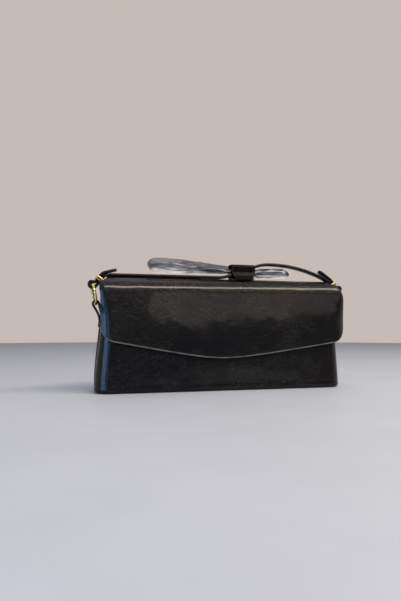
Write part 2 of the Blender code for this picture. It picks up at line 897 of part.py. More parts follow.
def add_base(leather, cloth, board):
    reach = bottom_round * (1 - math.cos(curl_angle)) + panel_leather * math.cos(curl_angle)
    half_x = base_half_width - reach - seam_gap
    half_y = base_half_depth - reach - seam_gap
    outline = rounded_outline(half_x, half_y, corner_radius, corner_steps)
    prism("base_panel", outline, 0.0, panel_leather, leather)
    board_low = panel_leather + seam_gap
    board_high = board_low + base_board_thickness
    inner_x = min(gusset_face(board_low, 0.0), gusset_face(board_high, 0.0))
    inner_x -= gusset_leather + end_seam_gap
    inner_y = base_half_depth - bottom_round - seam_gap
    outline = rounded_outline(inner_x, inner_y, corner_radius, corner_steps)
    prism("base_board", outline, board_low, board_high, board)
    cloth_low = board_high + seam_gap
    clear_x = gusset_face(cloth_low, 0.0) - gusset_leather - lining_cloth - 3 * seam_gap
    clear_y = base_half_depth - panel_leather - front_lining_space - lining_cloth - 2 * seam_gap
    outline = rounded_outline(clear_x, clear_y, corner_radius, corner_steps)
    prism("lining_base", outline, cloth_low, cloth_low + lining_cloth, cloth)


def add_flap(leather, cloth, metal):
    pivot = flap_hinge()
    outer = sheet("flap_outer", flap_grid(flap_start_angle, 0.0), 0.0, flap_leather, leather, pivot)
    slack = flap_lining_inset / fold_radius
    lined = flap_grid(flap_start_angle + slack, flap_lining_inset)
    sheet("flap_lining", lined, flap_leather + seam_gap, flap_cloth, cloth, pivot)
    depth = flap_leather - magnet_thickness
    centre, facing = front_frame(magnet_height, depth)
    disc("magnet_flap", centre, facing, magnet_radius, magnet_thickness, metal, pivot)
    mouth, _ = front_frame(magnet_height, flap_leather - magnet_recess)
    length = magnet_recess + overrun
    cutter = disc("recess_cutter", mouth, facing, magnet_radius + recess_clearance,
                  length, metal, pivot)
    add_recess(outer, cutter)
    behind = flap_stack() + panel_leather + seam_gap
    centre, facing = front_frame(magnet_height, behind)
    disc("magnet_front", centre, facing, magnet_radius, front_magnet_thickness, metal, (0, 0, 0))


def build():
    clear_scene()
    leather = finish("black_leather", (0.012, 0.012, 0.014), 0.28)
    edge_leather = finish("strap_leather", (0.010, 0.010, 0.011), 0.35)
    cloth = finish("lining_cloth", (0.030, 0.027, 0.026), 0.85)
    board = finish("grey_board", (0.20, 0.18, 0.16), 0.90)
    gold = finish("gold_metal", (0.83, 0.62, 0.27), 0.22, metallic=1.0)
    steel = finish("magnet_steel", (0.55, 0.55, 0.57), 0.35, metallic=1.0)
    clear = finish("clear_film", (0.80, 0.84, 0.90), 0.08, alpha=0.35)
    add_body(leather, cloth)
    add_base(leather, cloth, board)
    add_flap(leather, cloth, steel)
    for side_name, side in (("left", -1), ("right", 1)):
        add_ends(side_name, side, leather, cloth)
        add_tab(side_name, side, edge_leather)
        add_ring(side_name, side, gold)
        add_slider(side_name, side, gold)
    add_strap(edge_leather)
    add_keeper(leather)
    add_film(clear)


build()
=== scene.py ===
"""A long flap-over shoulder bag in black crinkled leather, standing on a pale table.

Metres, +Z up, the front faces -Y. Every leather, cloth and metal piece is built
on the frame's own measures, and all but the cover ride on the body that carries them.
"""

import logging
from dataclasses import dataclass, field
from enum import Enum
from math import acos, asin, copysign, cos, exp, hypot, pi, radians, sin, sqrt, tan
from typing import Callable, Mapping, Sequence

import bmesh
import bpy
import numpy as np
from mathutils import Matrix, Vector, noise


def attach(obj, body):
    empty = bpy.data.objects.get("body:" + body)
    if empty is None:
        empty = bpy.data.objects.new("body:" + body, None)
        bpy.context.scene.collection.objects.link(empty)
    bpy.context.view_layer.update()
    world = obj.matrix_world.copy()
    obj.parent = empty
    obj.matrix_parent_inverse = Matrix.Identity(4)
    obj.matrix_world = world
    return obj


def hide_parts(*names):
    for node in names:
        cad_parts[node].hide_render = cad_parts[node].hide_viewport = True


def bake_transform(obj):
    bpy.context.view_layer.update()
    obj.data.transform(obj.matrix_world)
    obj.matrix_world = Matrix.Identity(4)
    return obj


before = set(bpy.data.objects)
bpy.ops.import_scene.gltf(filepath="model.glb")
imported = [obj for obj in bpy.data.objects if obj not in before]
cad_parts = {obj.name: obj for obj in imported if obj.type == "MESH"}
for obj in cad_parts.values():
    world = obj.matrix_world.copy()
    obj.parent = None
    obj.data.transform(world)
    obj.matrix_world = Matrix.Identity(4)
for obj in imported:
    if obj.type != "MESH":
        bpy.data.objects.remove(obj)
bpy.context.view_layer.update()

LOG = logging.getLogger("shoulder_bag")
Colour = tuple[float, float, float]
Point = np.ndarray
Columns = list[tuple[float, float]]
Rows = list[tuple[float, float, float]]
Shell = tuple[np.ndarray, list[list[int]]]
Node = bpy.types.Node
Socket = bpy.types.NodeSocket
Sockets = Mapping[str, Socket]

FLAT_STEPS = 80
ARC_STEPS = 8
TAIL_STEPS = 2
LEVEL_HEIGHT = 0.035
RIM_SHARE = 0.4
RIM_TURNS = (radians(45), radians(90), radians(135))
CRISP_TURN = radians(60)


class Body(Enum):
    """The rigid bodies that the joints move."""

    BAG = "bag"
    FLAP = "flap"
    STRAP = "strap_set"
    LEFT_RING = "left_ring"
    RIGHT_RING = "right_ring"
    LEFT_SLIDER = "left_slider"
    RIGHT_SLIDER = "right_slider"


class Slot(Enum):
    """The record's material slots."""

    LEATHER = "black_leather"
    STRAP = "strap_leather"
    LINING = "lining_cloth"
    BOARD = "stiff_board"
    GOLD = "gold_metal"
    STEEL = "magnet_steel"
    FILM = "clear_film"


class End(Enum):
    """The two ends of the bag."""

    LEFT = -1
    RIGHT = 1

    @property
    def word(self) -> str:
        """The end's name in the names of pieces."""
        return self.name.lower()


class Plane(Enum):
    """The plane that a strip's track runs in."""

    LENGTHWISE = "XZ"
    CROSSWISE = "YZ"


def between(low: float, high: float, share: float) -> float:
    """The value at a share of the way from low to high."""
    return low + (high - low) * share


def smooth(value: float) -> float:
    """A share from 0 to 1 that starts and ends softly."""
    held = min(max(value, 0.0), 1.0)
    return held * held * (3 - 2 * held)


def unit(vectors: Point) -> Point:
    """The vectors at length one."""
    return vectors / np.maximum(np.linalg.norm(vectors, axis=-1, keepdims=True), 1e-12)


def quarter_round(into: float) -> float:
    """How far a round edge has drawn in, from 0 where it starts to 1 at its end."""
    return 1 - sqrt(max(1 - into ** 2, 0.0))


def lengths_along(path: Point) -> Point:
    """How far along a path each of its points lies."""
    return np.concatenate([[0.0], np.cumsum(np.linalg.norm(np.diff(path, axis=0), axis=1))])


def directions(track: Point, closed: bool = False) -> tuple[Point, Point]:
    """The way that a flat track runs at each point, and the way to its left."""
    if closed:
        tangent = unit(np.roll(track, -1, axis=0) - np.roll(track, 1, axis=0))
    else:
        tangent = unit(np.gradient(track, axis=0))
    return tangent, np.stack([-tangent[:, 1], tangent[:, 0]], axis=1)


def relief(points: Point, scale: float, seed: float) -> Point:
    """Soft waves over a surface, from -1 to 1.

    Args:
        points: Where to read the waves, as rows of x, y, z.
        scale: Waves in a metre.
        seed: Shifts the pattern, so that no two pieces share one.

    Returns:
        One number for each point.
    """
    shift = Vector((seed, seed * 0.7, -seed))
    flat = points.reshape(-1, 3) * scale
    values = [noise.noise(Vector(p) + shift) for p in flat]
    return np.array(values).reshape(points.shape[:-1])


def drapes(grid: Point, seed: float, depth: float) -> Point:
    """How far a hanging cloth's upright folds stand out at each point."""
    return np.maximum(relief(grid * np.array([1.0, 1.0, 0.35]), 70.0, seed), 0.0) * depth


@dataclass(frozen=True)
class Settle:
    """How the standing bag has shifted: its foot leans left and its back corners draw in."""

    lean: float = 0.0015
    lean_height: float = 0.070
    draw: float = 0.060
    draw_depth: float = 0.0275
    draw_height: float = 0.090

    def moved(self, points: Point) -> Point:
        """The points where the settled leather lies."""
        made = np.array(points, float)
        low = np.clip(1 - made[:, 2] / self.lean_height, 0.0, 1.0)
        near = np.clip(1 - made[:, 2] / self.draw_height, 0.0, 1.0)
        back = np.clip(made[:, 1] / self.draw_depth, 0.0, 1.0)
        low, near, back = (share * share * (3 - 2 * share) for share in (low, near, back))
        made[:, 0] = made[:, 0] * (1 - self.draw * near * back) - self.lean * low
        return made


@dataclass(frozen=True)
class BagShape:
    """The form that the leather and the linings are cut to."""

    base_half: float = 0.1308
    side_curve: float = 1.5
    base_depth: float = 0.0275
    shoulder_half: float = 0.1226
    top_half: float = 0.1210
    axis_y: float = -0.007
    axis_height: float = 0.0965
    fold_radius: float = 0.0175
    front_top: float = 0.092
    bulge: float = 0.0012
    corner: float = 0.0150
    shoulder_corner: float = 0.005
    middle_corner: float = 0.0030
    fold_corner: float = 0.0024
    side_return: float = 0.003
    fold_return: float = 0.0006
    bottom_round: float = 0.0036
    curl: float = radians(68)
    panel: float = 0.0016
    gusset: float = 0.0014
    flap: float = 0.0018
    strap: float = 0.0018
    lining: float = 0.0006
    flap_cloth: float = 0.0007
    seam_gap: float = 0.0003
    end_gap: float = 0.0005
    lining_gap: float = 0.0005
    lining_space: float = 0.0016
    lining_drop: float = 0.002
    lining_bottom: float = 0.0055
    rest_gap: float = 0.0005
    board: float = 0.0018
    over_rate: float = 2.5
    cloth_turn: float = radians(22.5)

    @property
    def flap_stack(self) -> float:
        """From the front panel's face to the flap's outer face."""
        return self.flap + self.seam_gap + self.flap_cloth + self.rest_gap

    @property
    def strap_level(self) -> float:
        """The lying strap's middle above the fold's axis."""
        return self.fold_radius + self.seam_gap + self.strap / 2

    def half_width(self, height: float) -> float:
        """Half the body's width at a height."""
        if height <= self.axis_height:
            share = max(height / self.axis_height, 0.0)
            return between(self.base_half, self.shoulder_half, share ** self.side_curve)
        share = min((height - self.axis_height) / self.fold_radius, 1.0)
        return between(self.shoulder_half, self.top_half, smooth(2 * share))

    def front_y(self, height: float, x: float = 0.0) -> float:
        """The front panel's outer face."""
        shoulder = self.axis_y - self.fold_radius + self.flap_stack
        share = height / self.axis_height
        crown = (1 - (x / self.base_half) ** 2) * sin(pi * min(share, 1.0))
        return between(-self.base_depth, shoulder, share) - self.bulge * max(crown, 0.0)

    def back_y(self, height: float) -> float:
        """The back panel's outer face below the fold."""
        share = height / self.axis_height
        return between(self.base_depth, self.axis_y + self.fold_radius, share)

    def side_front_y(self, height: float) -> float:
        """The front panel's outer face beside its corners."""
        return self.front_y(height, self.base_half)

    def corner_at(self, height: float) -> float:
        """How round the upright corners are at a height."""
        share = min(max(height / self.axis_height, 0.0), 1.0)
        middle = self.middle_corner * sin(pi * share)
        return between(self.corner, self.shoulder_corner, share) + middle

    def over_share(self, height: float) -> float:
        """From 0 at the fold's axis to 1 well up the round top edge."""
        return smooth(self.over_rate * (max(height - self.axis_height, 0.0) / self.fold_radius))

    def dome(self, angle: float) -> tuple[float, float]:
        """A point over the round top edge, from its front (+) to its back (-)."""
        return (self.axis_y - self.fold_radius * sin(angle),
                self.axis_height + self.fold_radius * cos(angle))

    def curl_rows(self, face_y: float, side: int, steps: int) -> Rows:
        """The rounded lower edge of a panel, from its hidden end up to its face."""
        rows = []
        for k in range(steps + 1):
            turn = self.curl * (1 - k / steps)
            inset = self.bottom_round * (1 - cos(turn))
            rows.append((face_y - side * inset, self.bottom_round * (1 - sin(turn)), inset))
        return rows

    def back_rows(self, low: float, high: float, steps: int) -> Rows:
        """Rows down the back between two heights."""
        heights = [between(high, low, k / steps) for k in range(steps + 1)]
        return [(self.back_y(height), height, 0.0) for height in heights]

    def panel_columns(self, height: float, inset: float) -> Columns:
        """Across the front or the back panel at a height."""
        return wrapped(self.half_width(height) - inset, self.corner_at(height) - inset,
                       radians(90), self.side_return)

    def cloth_columns(self, height: float, inset: float) -> Columns:
        """Across the front or the back lining, which ends just round the corners."""
        corner = between(self.corner_at(height), self.fold_corner, self.over_share(height))
        half = self.half_width(height) - corner * (1 - sin(self.cloth_turn))
        return wrapped(half, corner, self.cloth_turn, 0.0)


@dataclass(frozen=True)
class FlapShape:
    """The outline of the flap: round shoulders, straight sides, a shallow point."""

    bag: BagShape
    hinge: float = radians(39)
    half: float = 0.1334
    left_cut: float = 0.040
    neck_half: float = 0.1225
    neck_height: float = 0.1115
    full_height: float = 0.093
    left_height: float = 0.0506
    right_height: float = 0.0474
    side_x: float = 0.118
    tip_height: float = 0.0336
    tip_x: float = -0.004
    tip_round: float = 0.030
    corner: float = 0.014

    def half_at(self, height: float) -> float:
        """Half the flap's width at a height."""
        share = (height - self.full_height) / (self.neck_height - self.full_height)
        share = min(max(share, 0.0), 1.0)
        return between(self.neck_half, self.half, sqrt(1 - share ** 2))

    def trimmed(self, grid: Point) -> Point:
        """The grid with the flap's left side cut narrower than its right."""
        made = np.array(grid)
        x, y, height = made[..., 0], made[..., 1], made[..., 2]
        free = np.clip((self.neck_height - height) / (self.neck_height - self.full_height), 0.0, 1.0)
        free = np.where((x < 0) & (y < self.bag.axis_y), free * free * (3 - 2 * free), 0.0)
        made[..., 0] = x * (1 - self.left_cut * free)
        return made

    def edge_height(self, x: float) -> float:
        """The height of the lower edge along the bag."""
        side_height = self.left_height if x < self.tip_x else self.right_height
        run = hypot(x - self.tip_x, self.tip_round) - self.tip_round
        full_run = hypot(self.side_x, self.tip_round) - self.tip_round
        height = between(self.tip_height, side_height, run / full_run)
        into = min(max(abs(x) - (self.half - self.corner), 0.0), self.corner)
        return height + self.corner - sqrt(self.corner ** 2 - into ** 2)


class Tree:
    """A node tree with short calls for adding, setting and joining nodes."""

    def __init__(self, tree: bpy.types.NodeTree) -> None:
        """Takes an empty or a made tree."""
        self.tree = tree

    def add(self, kind: str, inputs: dict | None = None, **settings: object) -> Node:
        """Adds a node.

        Args:
            kind: The node's type, without the words that all types share.
            inputs: Values or output sockets for its inputs, by name or number.
            **settings: Its own settings.

        Returns:
            The node.
        """
        node = self.tree.nodes.new("ShaderNode" + kind)
        for key, value in settings.items():
            setattr(node, key, value)
        return self.set(node, inputs or {})

    def set(self, node: Node, inputs: dict) -> Node:
        """Joins outputs to a node's inputs or sets their values, and hands the node back."""
        for key, value in inputs.items():
            socket = node.inputs[key]
            if isinstance(value, Socket):
                self.tree.links.new(value, socket)
            elif socket.type == "RGBA":
                socket.default_value = (*value, 1.0)
            else:
                socket.default_value = value
        return node

    def sum(self, operation: str, *values: object, clamp: bool = False) -> Socket:
        """The result of one sum on values or sockets."""
        return self.add("Math", dict(enumerate(values)), operation=operation, use_clamp=clamp).outputs[0]

    def step(self, value: object, low: float, high: float,
             start: float = 0.0, end: float = 1.0) -> Socket:
        """A soft step from start to end as a value goes from low to high."""
        inputs = {"Value": value, "From Min": low, "From Max": high, "To Min": start, "To Max": end}
        return self.add("MapRange", inputs, interpolation_type="SMOOTHSTEP").outputs["Result"]

    def mix(self, share: object, first: object, second: object) -> Socket:
        """One colour turning into another."""
        return self.add("Mix", {0: share, 6: first, 7: second}, data_type="RGBA").outputs[2]

    def speckle(self, where: object, scale: object, detail: float = 2.0,
                roughness: float = 0.5) -> Socket:
        """Plain noise from 0 to 1."""
        inputs = {"Vector": where, "Scale": scale, "Detail": detail, "Roughness": roughness}
        return self.add("TexNoise", inputs).outputs["Fac"]

    def bump(self, height: object, distance: float, strength: float = 1.0) -> Socket:
        """The normal of a surface that a height field raises."""
        inputs = {"Height": height, "Distance": distance, "Strength": strength}
        return self.add("Bump", inputs).outputs["Normal"]


class Effects:
    """The shader groups that several finishes share, each built once."""

    made: dict[str, bpy.types.NodeTree] = {}

    @classmethod
    def place(cls, tree: Tree, fill: Callable[[Tree, Sockets], dict], inputs: dict) -> Sockets:
        """Puts an effect in a material with its own values, and builds its group at the first use.

        Args:
            tree: The material's tree.
            fill: The effect: it adds its nodes behind the group's inputs and returns its outputs.
            inputs: Values or sockets for the group's inputs, by name.

        Returns:
            The group's outputs.
        """
        name = fill.__name__
        if name not in cls.made:
            group = Tree(bpy.data.node_groups.new(name, "ShaderNodeTree"))
            sockets = group.tree.interface
            for label in inputs:
                kind = "NodeSocketVector" if label == "Vector" else "NodeSocketFloat"
                sockets.new_socket(label, in_out="INPUT", socket_type=kind)
            results = fill(group, group.tree.nodes.new("NodeGroupInput").outputs)
            for label in results:
                sockets.new_socket(label, in_out="OUTPUT", socket_type="NodeSocketFloat")
            group.set(group.tree.nodes.new("NodeGroupOutput"), results)
            cls.made[name] = group.tree
        return tree.add("Group", inputs, node_tree=cls.made[name]).outputs

    @staticmethod
    def crinkle(tree: Tree, given: Sockets) -> dict[str, Socket]:
        """Creased wax leather: a net of fine creases, stronger in some places."""
        where = given["Vector"]
        size = given["Cells"]
        bend = tree.add("TexNoise", {"Vector": where, "Scale": 45.0, "Detail": 3.0}).outputs["Color"]
        shift = tree.add("VectorMath", {0: bend, 1: (0.5, 0.5, 0.5)}, operation="SUBTRACT").outputs[0]
        push = tree.add("VectorMath", {0: shift, "Scale": given["Warp"]}, operation="SCALE").outputs[0]
        bent = tree.add("VectorMath", {0: where, 1: push}, operation="ADD").outputs[0]
        lines = []
        puffs = []
        for grow, width in ((1.0, 0.085), (2.3, 0.12)):
            inputs = {"Vector": bent, "Scale": tree.sum("MULTIPLY", size, grow)}
            edge = tree.add("TexVoronoi", inputs, feature="DISTANCE_TO_EDGE").outputs["Distance"]
            lines.append(tree.step(edge, 0.0, width, 1.0, 0.0))
            puffs.append(tree.step(edge, 0.0, 0.42))
        stretch = tree.add("Mapping", {"Vector": bent, "Scale": (1.0, 1.0, 3.2),
                                       "Rotation": (0.0, radians(28), 0.0)}).outputs[0]
        folds = tree.speckle(stretch, tree.sum("MULTIPLY", size, 0.9), 4.0, 0.62)
        ridge = tree.step(tree.sum("ABSOLUTE", tree.sum("SUBTRACT", folds, 0.5)), 0.0, 0.035, 1.0, 0.0)
        patch = tree.step(tree.speckle(where, given["Patches"], 3.0, 0.6), 0.32, 0.78)
        broad = tree.sum("MULTIPLY", lines[0], tree.sum("MULTIPLY_ADD", patch, 0.62, 0.16))
        both = tree.sum("MAXIMUM", broad, tree.sum("MULTIPLY", ridge, patch))
        crease = tree.sum("MAXIMUM", both, tree.sum("MULTIPLY", lines[1], 0.20))
        pores = tree.speckle(where, 1500.0, 2.0, 0.6)
        flat = tree.sum("SUBTRACT", tree.sum("MULTIPLY", pores, given["Pores"]), crease)
        puff = tree.sum("MULTIPLY_ADD", puffs[1], 0.5, puffs[0])
        ripple = tree.speckle(where, tree.sum("MULTIPLY", size, 2.6), 3.0, 0.6)
        rise = tree.sum("MULTIPLY_ADD", ripple, 2.8, tree.sum("MULTIPLY_ADD", puff, 0.45, flat))
        return {"Height": rise, "Crease": crease, "Patch": patch}

    @staticmethod
    def wear(tree: Tree, given: Sockets) -> dict[str, Socket]:
        """Rubbed edges: a mask that grows where a surface turns outwards."""
        edge = tree.step(given["Convexity"], 0.515, 0.60)
        break_up = tree.step(tree.speckle(given["Vector"], 240.0, 3.0, 0.65), 0.35, 0.65)
        return {"Worn": tree.sum("MULTIPLY", edge, tree.sum("MULTIPLY", break_up, given["Amount"]))}

    @staticmethod
    def weave(tree: Tree, given: Sockets) -> dict[str, Socket]:
        """Plain-woven threads that cross over and under."""
        split = tree.add("SeparateXYZ", {0: given["Vector"]}).outputs
        waves = []
        halves = []
        for axis in (0, 2):
            run = tree.sum("MULTIPLY", tree.sum("ADD", split[axis], split[1]), given["Threads"])
            wave = tree.sum("SINE", tree.sum("MULTIPLY", run, 2 * pi))
            waves.append(tree.sum("MULTIPLY_ADD", wave, 0.5, 0.5))
            halves.append(tree.sum("SIGN", tree.sum("SINE", tree.sum("MULTIPLY", run, pi))))
        over = tree.sum("MULTIPLY_ADD", tree.sum("MULTIPLY", *halves), 0.5, 0.5)
        under = tree.sum("MULTIPLY", waves[1], tree.sum("SUBTRACT", 1.0, over))
        return {"Height": tree.sum("MULTIPLY_ADD", waves[0], over, under)}

    @classmethod
    def worn(cls, tree: Tree, where: Socket, amount: float) -> Socket:
        """A finish's own rubbed edges, from 0 to 1."""
        convex = tree.add("NewGeometry").outputs["Pointiness"]
        return cls.place(tree, cls.wear, {"Vector": where, "Convexity": convex, "Amount": amount})["Worn"]


@dataclass(frozen=True)
class Finish:
    """A surface's name and slot; each kind adds its own nodes."""

    name: str
    slot: Slot | None = None

    def material(self) -> bpy.types.Material:
        """The finish's material, built at the first call."""
        known = bpy.data.materials.get(self.name)
        if known:
            return known
        made = bpy.data.materials.new(self.name)
        made.use_nodes = True
        tree = Tree(made.node_tree)
        inputs = self.dress(tree, tree.add("TexCoord").outputs["Object"])
        tree.set(made.node_tree.nodes["Principled BSDF"], inputs)
        return made

    def dress(self, tree: Tree, where: Socket) -> dict:
        """Adds the nodes of this kind of finish, and returns what its shader is fed."""
        raise NotImplementedError


@dataclass(frozen=True)
class Leather(Finish):
    """Glossy creased leather with darker and browner places, its creases painted paler and bluish as a
    painted highlight.
    """

    dark: Colour = (0.0010, 0.0014, 0.0026)
    brown: Colour = (0.0036, 0.0030, 0.0024)
    # crease: the creases' paler, bluish colour, a painted highlight where they catch the light
    crease: Colour = (0.0190, 0.0205, 0.0240)
    rubbed: Colour = (0.045, 0.041, 0.036)
    crease_share: float = 0.62
    rough_low: float = 0.19
    rough_high: float = 0.27
    crease_rough: float = 0.12
    reflection: float = 0.09
    coat: float = 0.30
    thin_coat: float = 0.75
    coat_roughness: float = 0.10
    cells: float = 165.0
    warp: float = 0.007
    patches: float = 26.0
    pores: float = 0.02
    depth: float = 0.00026
    wear: float = 0.20

    def dress(self, tree: Tree, where: Socket) -> dict:
        """Creases with a painted highlight in their paler colour, patches of gloss, and rubbed edges."""
        grain = Effects.place(tree, Effects.crinkle, {
            "Vector": where, "Cells": self.cells, "Warp": self.warp,
            "Patches": self.patches, "Pores": self.pores})
        cloud = tree.step(tree.speckle(where, 14.0, 4.0, 0.6), 0.30, 0.70)
        body = tree.mix(cloud, self.dark, self.brown)
        # painted highlight: the creases take the paler crease colour
        crease_highlit = tree.mix(tree.sum("MULTIPLY", grain["Crease"], self.crease_share), body, self.crease)
        gloss = tree.step(grain["Patch"], 0.0, 1.0, self.rough_low, self.rough_high)
        return {
            "Base Color": tree.mix(Effects.worn(tree, where, self.wear), crease_highlit, self.rubbed),
            "Roughness": tree.sum("MULTIPLY_ADD", grain["Crease"], self.crease_rough, gloss, clamp=True),
            "Coat Weight": tree.step(cloud, 0.0, 1.0, self.thin_coat * self.coat, self.coat),
            "Coat Roughness": self.coat_roughness,
            "Specular IOR Level": self.reflection,
            "Normal": tree.bump(grain["Height"], self.depth)}


@dataclass(frozen=True)
class GrainLeather(Finish):
    """Smooth strip leather with a tight pebbled grain."""

    colour: Colour = (0.0024, 0.0024, 0.0030)
    high: Colour = (0.0080, 0.0075, 0.0070)
    rubbed: Colour = (0.045, 0.041, 0.037)
    pebbles: float = 900.0
    depth: float = 0.00012
    roughness: float = 0.38
    coat: float = 0.04
    reflection: float = 0.15
    wear: float = 0.35

    def dress(self, tree: Tree, where: Socket) -> dict:
        """Small pebbles, paler on their tops, and rubbed edges."""
        cells = tree.add("TexVoronoi", {"Vector": where, "Scale": self.pebbles}, feature="SMOOTH_F1")
        top = tree.step(cells.outputs["Distance"], 0.15, 0.75, 1.0, 0.0)
        drift = tree.step(tree.speckle(where, 60.0, 3.0), 0.35, 0.65)
        share = tree.sum("MULTIPLY", top, tree.sum("MULTIPLY_ADD", drift, 0.5, 0.25))
        body = tree.mix(share, self.colour, self.high)
        return {
            "Base Color": tree.mix(Effects.worn(tree, where, self.wear), body, self.rubbed),
            "Roughness": tree.sum("MULTIPLY_ADD", drift, 0.12, self.roughness - 0.05),
            "Coat Weight": self.coat,
            "Coat Roughness": 0.25,
            "Specular IOR Level": self.reflection,
            "Normal": tree.bump(top, self.depth)}


@dataclass(frozen=True)
class EdgePaint(Finish):
    """Thick grey-brown paint on a cut leather edge, made pale as a painted highlight where the edge catches
    the light.
    """

    # a pale colour: partly edge paint, partly a painted highlight of the edge catching the light
    colour: Colour = (0.150, 0.132, 0.112)
    dark: Colour = (0.060, 0.054, 0.048)

    def dress(self, tree: Tree, where: Socket) -> dict:
        """Uneven paint with small brush marks."""
        drift = tree.step(tree.speckle(where, 110.0, 4.0, 0.65), 0.34, 0.62)
        marks = tree.speckle(where, 900.0, 2.0)
        return {
            "Base Color": tree.mix(drift, self.dark, self.colour),
            "Roughness": tree.step(marks, 0.3, 0.7, 0.34, 0.50),
            "Coat Weight": 0.3,
            "Normal": tree.bump(marks, 0.00010)}


@dataclass(frozen=True)
class GoldPlate(Finish):
    """Pale gold plating with fine rub marks."""

    colour: Colour = (0.900, 0.700, 0.360)
    deep: Colour = (0.620, 0.420, 0.160)
    rubbed: Colour = (0.95, 0.88, 0.72)
    wear: float = 0.5

    def dress(self, tree: Tree, where: Socket) -> dict:
        """Brighter and browner plating, scratches and rubbed edges."""
        drift = tree.step(tree.speckle(where, 180.0, 3.0, 0.6), 0.35, 0.70)
        plate = tree.mix(drift, self.colour, self.deep)
        long = tree.add("Mapping", {"Vector": where, "Scale": (1.0, 9.0, 1.0)}).outputs[0]
        marks = tree.speckle(long, 700.0, 3.0, 0.7)
        return {
            "Base Color": tree.mix(Effects.worn(tree, where, self.wear), plate, self.rubbed),
            "Metallic": 1.0,
            "Roughness": tree.step(marks, 0.35, 0.75, 0.14, 0.30),
            "Normal": tree.bump(marks, 0.00002, 0.6)}


@dataclass(frozen=True)
class Cloth(Finish):
    """Woven lining cloth."""

    colour: Colour = (0.026, 0.024, 0.024)
    light: Colour = (0.052, 0.048, 0.046)
    threads: float = 1300.0

    def dress(self, tree: Tree, where: Socket) -> dict:
        """Crossing threads with slubs and a faint sheen."""
        weave = Effects.place(tree, Effects.weave, {"Vector": where, "Threads": self.threads})["Height"]
        slub = tree.step(tree.speckle(where, 320.0, 4.0, 0.6), 0.3, 0.7)
        share = tree.sum("MULTIPLY", weave, tree.sum("MULTIPLY_ADD", slub, 0.6, 0.4))
        return {
            "Base Color": tree.mix(share, self.colour, self.light),
            "Roughness": tree.step(slub, 0.0, 1.0, 0.72, 0.88),
            "Sheen Weight": 0.06,
            "Sheen Roughness": 0.5,
            "Normal": tree.bump(weave, 0.00012)}


@dataclass(frozen=True)
class Speckled(Finish):
    """A plain surface whose fine grain shows in its colour, its gloss and its height."""

    light: Colour = (0.26, 0.23, 0.20)
    dark: Colour = (0.15, 0.135, 0.12)
    grain: float = 420.0
    detail: float = 5.0
    span: tuple[float, float] = (0.2, 0.8)
    rough: tuple[float, float] = (0.8, 0.95)
    depth: float = 0.00010
    metallic: float = 0.0

    def dress(self, tree: Tree, where: Socket) -> dict:
        """One fine noise for all three."""
        marks = tree.speckle(where, self.grain, self.detail, 0.7)
        return {
            "Base Color": tree.mix(marks, self.light, self.dark),
            "Metallic": self.metallic,
            "Roughness": tree.step(marks, *self.span, *self.rough),
            "Normal": tree.bump(marks, self.depth)}


@dataclass(frozen=True)
class Thread(Finish):
    """Waxed sewing thread."""

    colour: Colour = (0.020, 0.019, 0.019)
    light: Colour = (0.060, 0.056, 0.053)

    def dress(self, tree: Tree, where: Socket) -> dict:
        """Twisted strands, a little lighter on their tops."""
        twist = tree.add("Mapping", {"Vector": where, "Rotation": (0.5, 0.6, 0.7)}).outputs[0]
        wave = tree.add("TexWave", {"Vector": twist, "Scale": 900.0, "Distortion": 1.0}).outputs["Fac"]
        return {
            "Base Color": tree.mix(wave, self.colour, self.light),
            "Roughness": tree.step(wave, 0.0, 1.0, 0.45, 0.62),
            "Normal": tree.bump(wave, 0.00006)}


@dataclass(frozen=True)
class ClearFilm(Finish):
    """Thin clear wrap whose colour holds painted light: a dark painted shade on some strands, whitish
    painted highlight on others.
    """

    # the dark colour is a painted shade and the whitish colour a painted highlight
    dark: Colour = (0.030, 0.036, 0.055)
    white: Colour = (0.66, 0.68, 0.75)
    tone_name: str = "film_tone"

    def dress(self, tree: Tree, where: Socket) -> dict:
        """Streaks along the band in its colour, its clearness and its gloss; the whitish streaks in the
        colour are painted highlight.
        """
        # the tone attribute paints light on the band: low for painted shade, high for painted highlight
        painted_light_tone = tree.add("Attribute", attribute_name=self.tone_name).outputs["Fac"]
        long = tree.add("Mapping", {"Vector": where, "Scale": (0.16, 1.0, 1.0)}).outputs[0]
        streak = tree.speckle(long, 420.0, 4.0, 0.65)
        broad = tree.step(tree.speckle(long, 150.0, 3.0, 0.6), 0.38, 0.66)
        painted_light_drawn = tree.sum("MULTIPLY_ADD", tree.sum("SUBTRACT", streak, 0.5), 1.1, painted_light_tone)
        white = tree.step(painted_light_drawn, 0.30, 0.85)
        thin = tree.step(white, 0.0, 1.0, 0.60, 0.08)
        streaked = tree.sum("MULTIPLY_ADD", streak, 0.32, thin)
        return {
            "Base Color": tree.mix(white, self.dark, self.white),
            "Alpha": tree.sum("MULTIPLY_ADD", broad, 0.24, streaked, clamp=True),
            "Roughness": tree.step(streak, 0.35, 0.75, 0.08, 0.22),
            "Coat Weight": 0.4,
            "Coat Roughness": 0.08,
            "Normal": tree.bump(streak, 0.00026)}


@dataclass(frozen=True)
class TableTop(Finish):
    """A pale matt table top."""

    colour: Colour = (0.345, 0.378, 0.440)
    lighter: float = 1.06

    def dress(self, tree: Tree, where: Socket) -> dict:
        """A faint mottle."""
        mottle = tree.step(tree.speckle(where, 9.0, 4.0, 0.6), 0.3, 0.7)
        light = tuple(min(c * self.lighter, 1.0) for c in self.colour)
        return {"Base Color": tree.mix(mottle, self.colour, light), "Roughness": 0.6}


@dataclass(frozen=True)
class CurtainCloth(Finish):
    """A matt curtain, dark below and pale above."""

    low: Colour = (0.060, 0.062, 0.072)
    high: Colour = (0.760, 0.740, 0.720)
    turning: tuple[float, float] = (0.36, 1.00)

    def dress(self, tree: Tree, where: Socket) -> dict:
        """One colour turning into the other with height."""
        share = tree.step(tree.add("SeparateXYZ", {0: where}).outputs[2], *self.turning)
        return {"Base Color": tree.mix(share, self.low, self.high), "Roughness": 1.0,
                "Specular IOR Level": 0.0}


